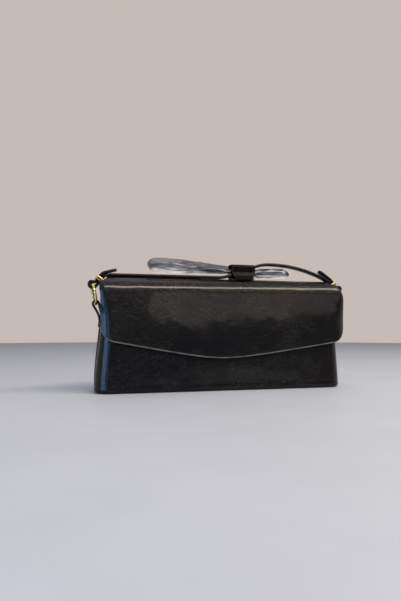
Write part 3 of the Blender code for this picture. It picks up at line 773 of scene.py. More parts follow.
@dataclass(frozen=True)
class Finishes:
    """Every finish of the bag."""

    cover: Finish = Leather("crinkled_leather", Slot.LEATHER)
    panel: Finish = Leather("front_leather", Slot.LEATHER, patches=34.0)
    gusset: Finish = Leather("gusset_leather", Slot.LEATHER, cells=240.0, depth=0.0003, coat=0.2)
    base: Finish = Leather("base_leather", Slot.LEATHER, coat=0.1, rough_low=0.38, rough_high=0.52)
    strap: Finish = GrainLeather("strip_leather", Slot.STRAP)
    keeper: Finish = GrainLeather("keeper_leather", Slot.LEATHER, pebbles=760.0, depth=0.00022,
                                  roughness=0.36, coat=0.02, reflection=0.04, high=(0.0066, 0.0064, 0.0062))
    edge: Finish = EdgePaint("edge_paint", Slot.LEATHER)
    binding: Finish = GrainLeather("binding_leather", Slot.LEATHER, pebbles=1100.0)
    gold: Finish = GoldPlate("gold_plate", Slot.GOLD)
    steel: Finish = Speckled("nickelled_steel", Slot.STEEL, (0.56, 0.56, 0.58), (0.36, 0.36, 0.38),
                             900.0, 3.0, (0.3, 0.7), (0.28, 0.46), 0.00002, 1.0)
    lining: Finish = Cloth("lining_weave", Slot.LINING)
    board: Finish = Speckled("grey_board", Slot.BOARD)
    thread: Finish = Thread("black_thread", Slot.STRAP)
    film: ClearFilm = ClearFilm("pulled_film", Slot.FILM)


FINISH = Finishes()


def show(name: str, data: bpy.types.ID) -> bpy.types.Object:
    """Puts a mesh, a lamp or a camera in the scene."""
    made = bpy.data.objects.new(name, data)
    bpy.context.scene.collection.objects.link(made)
    return made


def make_piece(name: str, shell: Shell, finish: Finish, body: Body | None,
               *stands_for: str) -> bpy.types.Object:
    """Makes one closed piece, dresses it and lets it ride on its body.

    Args:
        name: The piece's name.
        shell: Its points in the row frame, and its faces as point numbers.
        finish: Its finish.
        body: The body that it moves with; the cover has none.
        *stands_for: The CAD nodes that it is shown in place of.

    Returns:
        The new object.
    """
    points, faces = shell
    if body in (None, Body.BAG, Body.FLAP):
        points = Settle().moved(points)
    mesh = bpy.data.meshes.new(name)
    mesh.from_pydata([tuple(p) for p in points], [], faces)
    work = bmesh.new()
    work.from_mesh(mesh)
    bmesh.ops.remove_doubles(work, verts=work.verts, dist=1e-7)
    bmesh.ops.recalc_face_normals(work, faces=work.faces)
    work.to_mesh(mesh)
    work.free()
    mesh.materials.append(finish.material())
    mesh.shade_smooth()
    mesh.set_sharp_from_angle(angle=CRISP_TURN)
    made = show(name, mesh)
    if stands_for:
        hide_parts(*stands_for)
    if body is not None:
        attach(made, body.value)
    LOG.info("%s: %d points", name, len(mesh.vertices))
    return made


def make_sheet(name: str, outer: Point, inner: Point, thickness: float, finish: Finish,
               body: Body | None, *stands_for: str) -> bpy.types.Object:
    """Makes a piece that fills the space between two grids."""
    return make_piece(name, closed_sheet(outer, inner, thickness * RIM_SHARE), finish, body, *stands_for)


def wrapped(half: float, radius: float, turn: float, tail: float) -> Columns:
    """Across a panel from left to right: how far along X, how far behind its face.

    Args:
        half: Half the whole width.
        radius: The round of each side.
        turn: The angle that each side turns through.
        tail: The straight length after the round.

    Returns:
        The columns.
    """
    flat = half - radius * sin(turn) - tail * cos(turn)
    side = []
    for k in range(1, ARC_STEPS + 1):
        t = turn * k / ARC_STEPS
        side.append((flat + radius * sin(t), radius * (1 - cos(t))))
    end_x, end_depth = side[-1]
    for k in range(1, TAIL_STEPS + 1):
        run = tail * k / TAIL_STEPS
        side.append((end_x + run * cos(turn), end_depth + run * sin(turn)))
    middle = [(flat * (2 * k / FLAT_STEPS - 1), 0.0) for k in range(FLAT_STEPS + 1)]
    return [(-x, d) for x, d in reversed(side)] + middle + side


def grid_normals(grid: Point) -> Point:
    """Outward unit normals of a grid whose rows run along the section."""
    return unit(np.cross(np.gradient(grid, axis=1), np.gradient(grid, axis=0)))


def section_grid(rows: Rows, columns_of: Callable[[float, float], Columns], bottom_round: float) -> Point:
    """Points of a panel whose rows are (y, height, inset).

    Near the bottom the columns run back level; higher up they follow the panel's slope.
    """
    tangent = unit(np.gradient(np.array([row[:2] for row in rows]), axis=0))
    grid = []
    for (y, height, inset), (ty, tz) in zip(rows, tangent):
        slope = smooth((height - bottom_round) / LEVEL_HEIGHT)
        ny, nz = (between(copysign(1.0, y), -tz, slope), ty * slope)
        grid.append([(x, y - ny * d, height - nz * d) for x, d in columns_of(height, inset)])
    return np.array(grid)


def quads(rows: int, columns: int, start: int = 0, round_rows: bool = False,
          round_columns: bool = True) -> list[list[int]]:
    """The faces between rows of points.

    Args:
        rows: How many rows there are.
        columns: How many points each row has.
        start: The number of the first point.
        round_rows: Whether the last row is joined to the first.
        round_columns: Whether each row closes on itself.

    Returns:
        The faces, row by row.
    """
    faces = []
    for i in range(rows if round_rows else rows - 1):
        here = start + i * columns
        there = start + (i + 1) % rows * columns
        for k in range(columns if round_columns else columns - 1):
            beside = (k + 1) % columns
            faces.append([here + k, here + beside, there + beside, there + k])
    return faces


def caps(rows: int, columns: int, start: int = 0) -> list[list[int]]:
    """The two end faces of a piece whose rows are rings of points."""
    last = start + (rows - 1) * columns
    return [[start + k for k in reversed(range(columns))], [last + k for k in range(columns)]]


def rounded_box(half_x: float, half_y: float, radius: float, steps: int) -> Columns:
    """The outline of a rectangle with round corners."""
    outline = []
    for sx, sy, turn in ((1, 1, 0), (-1, 1, 90), (-1, -1, 180), (1, -1, 270)):
        for k in range(steps + 1):
            angle = radians(turn + 90 * k / steps)
            outline.append((sx * (half_x - radius) + radius * cos(angle),
                            sy * (half_y - radius) + radius * sin(angle)))
    return outline


def closed_sheet(outer: Point, inner: Point, rim: float) -> Shell:
    """A closed sheet between two grids, with a rounded rim.

    Args:
        outer: The outer face's grid.
        inner: The inner face's grid.
        rim: How far the rim bulges out, in metres.

    Returns:
        The points and the faces.
    """
    rows, columns = outer.shape[:2]
    count = rows * columns
    faces = []
    for ring in quads(rows, columns, round_columns=False):
        faces += [ring, [count + k for k in reversed(ring)]]
    edge = [(0, j) for j in range(columns)] + [(i, columns - 1) for i in range(1, rows)]
    edge += [(rows - 1, j) for j in range(columns - 2, -1, -1)]
    edge += [(i, 0) for i in range(rows - 2, 0, -1)]
    inside = [(min(max(i, 1), rows - 2), min(max(j, 1), columns - 2)) for i, j in edge]
    high = np.array([outer[k] for k in edge])
    low = np.array([inner[k] for k in edge])
    out = unit(high - np.array([outer[k] for k in inside]))
    through = unit(high - low)
    out = unit(out - through * (out * through).sum(axis=1, keepdims=True))
    middle = (high + low) / 2
    half = (high - low) / 2
    points = [outer.reshape(-1, 3), inner.reshape(-1, 3)]
    length = len(edge)
    loops = [[i * columns + j for i, j in edge]]
    for n, turn in enumerate(RIM_TURNS):
        points.append(middle + half * cos(turn) + out * rim * sin(turn))
        loops.append([2 * count + n * length + k for k in range(length)])
    loops.append([count + k for k in loops[0]])
    for first, second in zip(loops, loops[1:]):
        for k in range(length):
            after = (k + 1) % length
            faces.append([first[after], first[k], second[k], second[after]])
    return np.concatenate(points), faces


def strip_section(steps: int = 5, crown: float = 0.18) -> Rows:
    """The cross-section of a strip, used with strip().

    Each row says where across, how high, and how far the round edge bulges there, as
    shares of the strip's half width and half thickness.
    """
    points = []
    for side in (1, -1):
        for k in range(steps + 1):
            turn = radians(90 - 180 * k / steps)
            points.append((side, side * sin(turn), cos(turn)))
        for share in (0.5, 0.0, -0.5):
            points.append((side * share, -side * (1 + crown * (1 - share ** 2)), 0.0))
    return points


def strip(track: Point, low: float | Point, high: float | Point, thickness: float | Point,
          plane: Plane) -> Shell:
    """A strip with round edges along a track.

    Args:
        track: Its middle line in its plane.
        low: Where its near edge lies across the plane, in all or at each point.
        high: Where its far edge lies.
        thickness: Its thickness.
        plane: The plane of the track.

    Returns:
        The points and the faces.
    """
    section = strip_section()
    total = len(track)
    near_side, far_side, halves = (
        np.broadcast_to(value, total) for value in (low, high, np.array(thickness) / 2))
    points = []
    for spot, push, near, far, half in zip(track, directions(track)[1], near_side, far_side, halves):
        reach = max((far - near) / 2 - half, 1e-5)
        for across, rise, bulge in section:
            flat = spot + push * rise * half
            side = (near + far) / 2 + across * reach + copysign(bulge * half, across)
            if plane is Plane.LENGTHWISE:
                points.append((flat[0], side, flat[1]))
            else:
                points.append((side, flat[0], flat[1]))
    return np.array(points), quads(total, len(section)) + caps(total, len(section))


def tube(path: Point, first: Point, second: Point, wide: float, deep: float,
         steps: int = 10) -> Shell:
    """An oval tube along a path, with closed ends.

    Args:
        path: Its middle line.
        first: The direction of its wider reach at each point.
        second: The direction of its other reach.
        wide: Half its size along the first.
        deep: Half its size along the second.
        steps: Points round it.

    Returns:
        The points and the faces.
    """
    points = []
    total = len(path)
    for i, (spot, a, b) in enumerate(zip(path, first, second)):
        end = min(i, total - 1 - i)
        shrink = sin(radians(90) * min((end + 1) / 3, 1.0))
        points += ring_points(spot, a * wide * shrink, b * deep * shrink, steps)
    return np.array(points), quads(total, steps) + caps(total, steps)


def arc(middle: Point, first: Point, second: Point, start: float, stop: float, steps: int) -> list:
    """Points round an oval with two half axes, from one angle to another."""
    turns = [between(start, stop, k / steps) for k in range(steps + 1)]
    return [middle + first * cos(turn) + second * sin(turn) for turn in turns]


def ring_points(middle: Point, first: Point, second: Point, steps: int) -> list:
    """Points all the way round an oval."""
    return arc(middle, first, second, 0.0, 2 * pi, steps)[:-1]


def resampled(path: Point, pitch: float) -> tuple[Point, Point]:
    """Evenly spaced points along a path, and the way it runs at each."""
    lengths = lengths_along(path)
    count = max(int(lengths[-1] / pitch), 1)
    marks = (np.arange(count) + 0.5) * lengths[-1] / count
    spots, ahead, behind = (
        np.stack([np.interp(marks + shift, lengths, path[:, k]) for k in range(3)], axis=1)
        for shift in (0.0, 1e-4, -1e-4))
    return spots, unit(ahead - behind)


@dataclass(frozen=True)
class Stitching:
    """A row of hand-length stitches in waxed thread."""

    pitch: float = 0.0029
    length: float = 0.0022
    radius: float = 0.00027
    slant: float = radians(7)
    rings: int = 5
    around: int = 6

    def sew(self, name: str, paths: Sequence[Point], facings: Sequence[Point], body: Body) -> None:
        """Sews rows of stitches as one piece.

        Args:
            name: The piece's name.
            paths: The rows' middle lines.
            facings: The way that the leather faces along each row, once or at each of its points.
            body: The body that carries them.
        """
        points = []
        faces = []
        for path, facing in zip(paths, facings):
            ups = np.broadcast_to(facing, path.shape)
            for spot, way in zip(*resampled(path, self.pitch)):
                up = unit(ups[np.argmin(np.linalg.norm(path - spot, axis=1))])
                side = unit(np.cross(up, way))
                start = len(points)
                faces += quads(self.rings, self.around, start) + caps(self.rings, self.around, start)
                points += self.stitch(spot, unit(way + side * tan(self.slant)), side, up)
        make_piece(name, (np.array(points), faces), FINISH.thread, body)

    def stitch(self, spot: Point, way: Point, side: Point, up: Point) -> list:
        """The points of one stitch: a short thread that dips into its holes."""
        points = []
        for i in range(self.rings):
            share = 2 * i / (self.rings - 1) - 1
            size = self.radius * sqrt(max(1 - 0.8 * share ** 2, 0.1))
            middle = spot + way * share * self.length / 2 - up * self.radius * 1.1 * share ** 2
            points += ring_points(middle, side * size, up * size, self.around)
        return points


@dataclass
class Cover:
    """The back, the round top and the flap, cut from one piece of leather."""

    bag: BagShape
    flap: FlapShape
    flap_round: float = 0.022
    shoulder_round: float = 0.009
    round_from: float = 0.070
    round_to: float = 0.100
    flap_turn: float = radians(40)
    neck_round: float = 0.006
    neck_turn: float = radians(35)
    face_turn: float = radians(82.5)
    fullness: float = 0.0006
    flap_rows: int = 38
    dome_rows: int = 60
    back_rows: int = 36
    curl_steps: int = 6
    wave: float = 0.00022
    fine_wave: float = 0.00012
    bead_half: float = 0.0017
    bead_out: float = 0.0010
    lining_inset: float = 0.0010
    calm_height: float = 0.012

    def over_profile(self, angle: float, height: float, inset: float = 0.0) -> Columns:
        """Across the leather at an angle over the top, from -90 behind to 90 in front."""
        neck = acos((self.flap.neck_height - self.bag.axis_height) / self.bag.fold_radius)
        share = self.bag.over_share(height)
        body_half = self.bag.half_width(height)
        corner = between(self.bag.corner_at(height), self.bag.fold_corner, share)
        tail = between(self.bag.side_return, self.bag.fold_return, share)
        if angle <= 0:
            return wrapped(body_half - inset, corner - inset, radians(90), tail)
        if angle < neck:
            free = smooth(angle / neck)
            half = between(body_half, self.flap.neck_half, free)
            turn = between(radians(90), self.neck_turn, free)
            return wrapped(half - inset, between(corner, self.neck_round, free), turn, tail * (1 - free))
        free = smooth((angle - neck) / (self.face_turn - neck))
        radius = between(self.neck_round, self.round_at(height), free)
        turn = between(self.neck_turn, self.flap_turn, free)
        return wrapped(self.flap.half_at(height) - inset, radius, turn, 0.0)

    def flap_rows_grid(self, inset: float) -> list:
        """The flap's rows from its lower edge up to the round top edge."""
        low = wrapped(self.flap.half - inset, self.flap_round, self.flap_turn, 0.0)
        top = self.bag.dome(self.face_turn)[1]
        grid = []
        for i in range(self.flap_rows):
            line = []
            for low_x, _ in low:
                edge = self.flap.edge_height(low_x) + inset
                height = between(edge, top, i / self.flap_rows)
                half = self.flap.half_at(height) - inset
                x, depth = self.column(low_x, half, low[-1][0], self.round_at(height))
                face = self.bag.front_y(height, x) - self.bag.flap_stack
                face -= self.fullness * sin(pi * i / self.flap_rows)
                line.append((x, face + depth, height))
            grid.append(line)
        return grid

    def round_at(self, height: float) -> float:
        """How round the flap's sides are at a height."""
        share = smooth((height - self.round_from) / (self.round_to - self.round_from))
        return between(self.flap_round, self.shoulder_round, share)

    def column(self, low_x: float, half: float, low_half: float, radius: float) -> tuple[float, float]:
        """Moves a lowest-row column to a row of another half width and another round."""
        low_flat = low_half - self.flap_round * sin(self.flap_turn)
        flat = half - radius * sin(self.flap_turn)
        side = copysign(1.0, low_x)
        if abs(low_x) <= low_flat:
            return low_x * flat / low_flat, 0.0
        run = (abs(low_x) - low_flat) / self.flap_round
        return side * (flat + radius * run), radius * (1 - sqrt(1 - run ** 2))

    def over_rows(self, start: float, end: float, steps: int, inset: float = 0.0) -> list:
        """Rows over the round top edge between two angles."""
        grid = []
        for k in range(steps + 1):
            angle = between(start, end, k / steps)
            y, height = self.bag.dome(angle)
            facing = (-sin(angle), cos(angle))
            line = self.over_profile(angle, height, inset)
            grid.append([(x, y - facing[0] * d, height - facing[1] * d) for x, d in line])
        return grid

    def whole_grid(self) -> Point:
        """Every row, from the flap's lower edge over the top to the base."""
        grid = self.flap_rows_grid(0.0)
        grid += self.over_rows(self.face_turn, radians(-90), self.dome_rows)
        rows = self.bag.back_rows(self.bag.lining_bottom, self.bag.axis_height, self.back_rows)[1:]
        rows += reversed(self.bag.curl_rows(self.bag.base_depth, 1, self.curl_steps))
        back = section_grid(rows, self.bag.panel_columns, self.bag.bottom_round)
        return self.flap.trimmed(grid + back.tolist())

    def build(self) -> None:
        """Builds the leather, its painted edge and the flap's lining."""
        grid = self.whole_grid()
        normal = grid_normals(grid)
        waves = relief(grid, 32.0, 3.1) * self.wave + relief(grid, 95.0, 8.4) * self.fine_wave
        share = np.clip(grid[..., 2] / self.calm_height, 0.0, 1.0)
        outer = grid + normal * (waves * share)[..., None]
        made = make_sheet("cover_leather", outer, grid - normal * self.bag.flap, self.bag.flap,
                          FINISH.cover, None, "flap_outer", "back_panel")
        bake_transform(made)
        self.build_bead(outer, normal)
        self.build_lining()

    def build_bead(self, outer: Point, normal: Point) -> None:
        """The painted edge along the flap's sides and lower edge, its pale colour partly a painted
        highlight.
        """
        first = self.flap_rows + int(self.dome_rows * 40 / 180)
        last = outer.shape[1] - 1
        cells = [(i, 0) for i in range(first, 0, -1)]
        cells += [(0, j) for j in range(last + 1)]
        cells += [(i, last) for i in range(1, first + 1)]
        edge = np.array([outer[c] for c in cells])
        facing = np.array([normal[c] for c in cells])
        for _ in range(3):
            facing[1:-1] = unit(facing[:-2] + facing[1:-1] * 2 + facing[2:])
        along = unit(np.gradient(edge, axis=0))
        out = unit(np.cross(facing, along))
        middle = edge - facing * (self.bead_half - 0.0001)
        make_piece("flap_edge", tube(middle, facing, out, self.bead_half, self.bead_out),
                   FINISH.edge, Body.FLAP)

    def build_lining(self) -> None:
        """The cloth on the flap's inside."""
        grid = self.flap_rows_grid(self.lining_inset)
        end = self.flap.hinge + radians(9)
        grid += self.over_rows(self.face_turn, end, 14, self.lining_inset)
        surface = self.flap.trimmed(grid)
        normal = grid_normals(surface)
        depth = self.bag.flap + self.bag.seam_gap * 0.3
        waves = np.abs(relief(surface, 60.0, 5.5)) * 0.0002
        outer = surface - normal * depth
        inner = surface - normal * (depth + self.bag.flap_cloth + waves)[..., None]
        make_sheet("flap_inside", outer, inner, self.bag.flap_cloth, FINISH.lining,
                   Body.FLAP, "flap_lining")


@dataclass
class FrontPanel:
    """The front, wrapped round both upright corners and under the base."""

    bag: BagShape
    rows: int = 40
    curl_steps: int = 6
    wave: float = 0.00024
    fine_wave: float = 0.00008
    wrinkle: float = 0.0011
    end_columns: int = 10
    stitch_drop: float = 0.0030

    def section(self, top: float) -> Rows:
        """Rows from the hidden lower end up to a height."""
        rows = self.bag.curl_rows(-self.bag.base_depth, -1, self.curl_steps)
        for k in range(self.rows + 1):
            height = between(self.bag.lining_bottom, top, k / self.rows)
            rows.append((self.bag.side_front_y(height), height, 0.0))
        return rows

    def crowned(self, grid: Point) -> Point:
        """Pushes the middle of the front outwards."""
        for line in grid:
            for point in line:
                point[1] += self.bag.front_y(point[2], point[0]) - self.bag.side_front_y(point[2])
        return grid

    def build(self) -> None:
        """Builds the panel, its bound mouth edge and the lining behind it."""
        bag = self.bag
        grid = self.crowned(section_grid(self.section(bag.front_top), bag.panel_columns, bag.bottom_round))
        normal = grid_normals(grid)
        waves = relief(grid, 36.0, 12.7) * self.wave + relief(grid, 110.0, 4.2) * self.fine_wave
        heights = grid[..., 2]
        share = np.clip(heights / 0.010, 0.0, 1.0) * np.clip((0.1 - heights) / 0.03, 0.2, 1.0)
        outer = grid + normal * ((waves - 0.00005) * share)[..., None]
        make_sheet("front_leather", outer, grid - normal * bag.panel, bag.panel, FINISH.panel,
                   Body.BAG, "front_panel")
        self.build_lining()
        self.build_binding(grid, normal)

    def build_lining(self) -> None:
        """The cloth behind the front panel."""
        rows = self.section(self.bag.front_top - self.bag.lining_drop)[self.curl_steps + 1:]
        grid = self.crowned(section_grid(rows, self.bag.cloth_columns, 0.0))
        normal = grid_normals(grid)
        depth = self.bag.panel + self.bag.lining_space
        wrinkle = drapes(grid, 21.0, self.wrinkle)
        outer = grid - normal * (depth + wrinkle * 0.9)[..., None]
        inner = grid - normal * (depth + wrinkle + self.bag.lining)[..., None]
        make_sheet("front_lining", outer, inner, self.bag.lining, FINISH.lining,
                   Body.BAG, "lining_front")

    def build_binding(self, grid: Point, normal: Point) -> None:
        """The rolled strip that binds panel and lining along the mouth."""
        line = grid[-1][self.end_columns:-self.end_columns]
        facing = normal[-1][self.end_columns:-self.end_columns]
        up = np.tile(np.array([0.0, 0.0, 1.0]), (len(line), 1))
        depth = self.bag.panel + self.bag.lining_space + self.bag.lining
        middle = line - facing * depth / 2 + up * 0.0002
        make_piece("mouth_binding", tube(middle, facing, up, depth / 2 + 0.0002, 0.0011, 12),
                   FINISH.binding, Body.BAG)
        below = line + facing * 0.0001 - up * self.stitch_drop
        Stitching().sew("mouth_stitches", [below], [facing], Body.BAG)


@dataclass
class Ends:
    """The two end walls with their linings and seams."""

    bag: BagShape
    sag: float = 0.004
    sag_height: float = 0.060
    top_rise: float = 0.009
    crease: float = 0.0011
    low_rows: int = 34
    top_rows: int = 8
    columns: int = 28

    def bottom_inset(self, height: float) -> float:
        """How far the rounded lower edge draws in at a height."""
        drop = max(1 - height / self.bag.bottom_round, 0.0)
        return self.bag.bottom_round * quarter_round(drop)

    def face(self, height: float, share: float) -> float:
        """How far out the end wall stands, at a share of its depth from -1 to 1."""
        sag = 0.0
        if height < self.sag_height:
            wave = sin(pi * height / self.sag_height)
            sag = self.sag * wave * (1 - share ** 2)
            sag += self.crease * wave * exp(-(share / 0.16) ** 2)
        return (self.bag.half_width(height) - self.bottom_inset(height) - self.bag.panel
                - self.bag.end_gap - sag)

    def grid(self, end: End, bottom: float, inset: float) -> Point:
        """Points of an end wall, from the base up under the round top edge."""
        bag = self.bag
        heights = [between(bottom, bag.axis_height, k / self.low_rows) for k in range(self.low_rows)]
        heights += [bag.axis_height + self.top_rise * k / self.top_rows
                    for k in range(self.top_rows + 1)]
        reach_front = bag.axis_y - bag.front_y(bag.axis_height) - bag.shoulder_corner
        reach_back = bag.fold_radius - bag.shoulder_corner
        grid = []
        for height in heights:
            rise = max(height - bag.axis_height, 0.0)
            low = bag.side_front_y(height) + bag.corner_at(height)
            high = bag.back_y(height) - bag.corner_at(height)
            if rise > 0.0:
                low = bag.axis_y - sqrt(reach_front ** 2 - rise ** 2)
                high = bag.axis_y + sqrt(reach_back ** 2 - rise ** 2)
            line = []
            for k in range(self.columns + 1):
                y = between(low + inset, high - inset, k / self.columns)
                share = (2 * y - low - high) / (high - low)
                line.append((end.value * self.face(height, share), y, height))
            grid.append(line)
        made = np.array(grid)
        return made if end is End.RIGHT else made[:, ::-1]

    def build(self) -> None:
        """Builds both end walls."""
        for end in End:
            self.build_end(end)

    def build_end(self, end: End) -> None:
        """Builds one end wall, its lining, and the stitches of its two seams."""
        bag = self.bag
        stack = bag.gusset + bag.lining_gap + bag.lining
        bottom = bag.panel + bag.seam_gap + stack * pi * self.sag / self.sag_height
        grid = self.grid(end, bottom, 0.0)
        normal = grid_normals(grid)
        heights = grid[..., 2]
        share = np.clip((self.sag_height - heights) / 0.015, 0.0, 1.0)
        share *= np.clip((heights - 0.003) / 0.01, 0.0, 1.0)
        waves = relief(grid, 55.0, 30.0 + end.value) * 0.00030 * share
        make_sheet("end_" + end.word, grid + normal * waves[..., None], grid - normal * bag.gusset,
                   bag.gusset, FINISH.gusset, Body.BAG, "gusset_" + end.word)
        cloth = self.grid(end, bottom + bag.board + bag.seam_gap, bag.panel)
        facing = grid_normals(cloth)
        depth = bag.gusset + bag.lining_gap
        slack = np.maximum(relief(cloth, 80.0, 40.0 + end.value), 0.0) * 0.0004
        make_sheet("end_lining_" + end.word, cloth - facing * depth,
                   cloth - facing * (depth + bag.lining + slack)[..., None],
                   bag.lining, FINISH.lining, Body.BAG, "lining_" + end.word)
        self.sew_seams(end)

    def sew_seams(self, end: End) -> None:
        """Stitches the front's and the back's side returns to the end wall."""
        paths = []
        for face, side in ((self.bag.side_front_y, 1), (self.bag.back_y, -1)):
            rows = []
            for k in range(50):
                height = between(0.007, 0.0915, k / 49)
                x = end.value * (self.bag.half_width(height) + 0.00008)
                y = face(height) + side * (self.bag.corner_at(height) + self.bag.side_return * 0.5)
                rows.append((x, y, height))
            paths.append(np.array(rows))
        facing = np.array([end.value, 0.0, 0.05])
        Stitching().sew("end_stitches_" + end.word, paths, [facing, facing], Body.BAG)


@dataclass
class Inside:
    """The back lining, the bottom, the slip pocket and what stays hidden."""

    bag: BagShape
    ends: Ends
    pocket_half: float = 0.060
    pocket_low: float = 0.026
    pocket_top: float = 0.076
    over_from: float = radians(38.5)
    over_rows: int = 40
    down_rows: int = 36
    pad_rings: int = 10
    pad_wave: float = 0.00012

    def build(self) -> None:
        """Builds the pieces inside the bag and under it."""
        self.build_back_lining()
        self.build_pocket()
        self.build_bottom()
        for node in ("magnet_front", "magnet_flap"):
            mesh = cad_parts[node].data
            mesh.materials.clear()
            mesh.materials.append(FINISH.steel.material())
            LOG.info("%s keeps its solid", node)

    def build_back_lining(self) -> None:
        """The cloth behind the back panel and under the round top edge."""
        rows = []
        for k in range(self.over_rows + 1):
            y, height = self.bag.dome(between(self.over_from, radians(-90), k / self.over_rows))
            rows.append((y, height, 0.0))
        rows += self.bag.back_rows(self.bag.lining_bottom, self.bag.axis_height, self.down_rows)[1:]
        grid = section_grid(rows, self.bag.cloth_columns, 0.0)
        normal = grid_normals(grid)
        depth = self.bag.flap + self.bag.lining_gap
        inner = grid - normal * (depth + self.bag.lining + drapes(grid, 51.0, 0.0006))[..., None]
        make_sheet("back_lining", grid - normal * depth, inner, self.bag.lining, FINISH.lining,
                   Body.BAG, "lining_back")

    def build_pocket(self) -> None:
        """The slip pocket with its turned hem and its sewn sides."""
        rows = self.bag.back_rows(self.pocket_low, self.pocket_top, 24)
        count = 40
        columns = [(self.pocket_half * (2 * k / count - 1), 0.0) for k in range(count + 1)]
        grid = section_grid(rows, lambda height, inset: columns, 0.0)
        normal = grid_normals(grid)
        depth = self.bag.flap + self.bag.lining_gap + self.bag.lining + self.bag.seam_gap + 0.0006
        slack = np.sin(np.linspace(0, pi, count + 1))[None, :] ** 0.5
        fall = np.linspace(1.0, 0.0, len(rows))[:, None] ** 1.5
        belly = slack * fall * 0.0016
        hem = np.zeros(len(rows))
        hem[:4] = 0.0005
        thick = self.bag.lining + np.tile(hem[:, None], (1, count + 1))
        outer = grid - normal * (depth + belly)[..., None]
        inner = grid - normal * (depth + belly + thick)[..., None]
        make_sheet("pocket_cloth", outer, inner, self.bag.lining, FINISH.lining, Body.BAG, "slip_pocket")
        face = inner - normal * 0.00008
        sides = [face[:, 1], face[-2, :], face[:, -2]]
        facings = [-normal[:, 1], -normal[-2, :], -normal[:, -2]]
        Stitching(length=0.0018, pitch=0.0025).sew("pocket_stitches", sides, facings, Body.BAG)

    def build_bottom(self) -> None:
        """The leather under the bag and the cloth over the board."""
        bag = self.bag
        reach = bag.bottom_round * (1 - cos(bag.curl)) + bag.panel * cos(bag.curl)
        low = bag.base_half - reach - bag.seam_gap
        deep = bag.base_depth - reach - bag.seam_gap
        self.pad("base_leather", low, deep, 0.0, bag.panel, FINISH.base, "base_panel")
        under = bag.panel + bag.seam_gap
        floor = under + bag.board + bag.seam_gap
        clear_x = self.ends.face(floor, 0.0) - bag.gusset - bag.lining - 3 * bag.seam_gap
        clear_y = bag.base_depth - bag.panel - bag.lining_space - bag.lining - 2 * bag.seam_gap
        self.pad("stiff_board", clear_x, clear_y, under, under + bag.board, FINISH.board, "base_board")
        self.pad("bottom_lining", clear_x, clear_y, floor, floor + bag.lining, FINISH.lining,
                 "lining_base")

    def pad(self, name: str, half_x: float, half_y: float, low: float, high: float,
            finish: Finish, node: str) -> None:
        """A flat piece with round corners and softened edges.

        Args:
            name: The piece's name.
            half_x: Half its length.
            half_y: Half its depth.
            low: Its underside.
            high: Its top.
            finish: Its finish.
            node: The CAD node that it stands for.
        """
        outline = rounded_box(half_x, half_y, self.bag.corner, 8)
        count = len(outline)
        middle = (low + high) / 2
        soft = (high - low) / 2
        levels = [(1 - soft / half_y) * k / self.pad_rings for k in range(1, self.pad_rings + 1)]
        points = [(0.0, 0.0, low)]
        for share in levels:
            points += [(x * share, y * share, low) for x, y in outline]
        for turn in (30, 60, 90, 120, 150):
            share = 1 - soft * (1 - sin(radians(turn))) / half_y
            rise = middle - soft * cos(radians(turn))
            points += [(x * share, y * share, rise) for x, y in outline]
        for share in reversed(levels):
            for x, y in outline:
                spot = Vector((x * share * 60, y * share * 60, high))
                points.append((x * share, y * share, high + self.pad_wave * noise.noise(spot)))
        points.append((0.0, 0.0, high))
        last = len(points) - 1
        tail = last - count
        faces = [[0, 1 + (k + 1) % count, 1 + k] for k in range(count)]
        faces += quads((last - 1) // count, count, 1)
        faces += [[last, tail + k, tail + (k + 1) % count] for k in range(count)]
        make_piece(name, (np.array(points), faces), finish, Body.BAG, node)


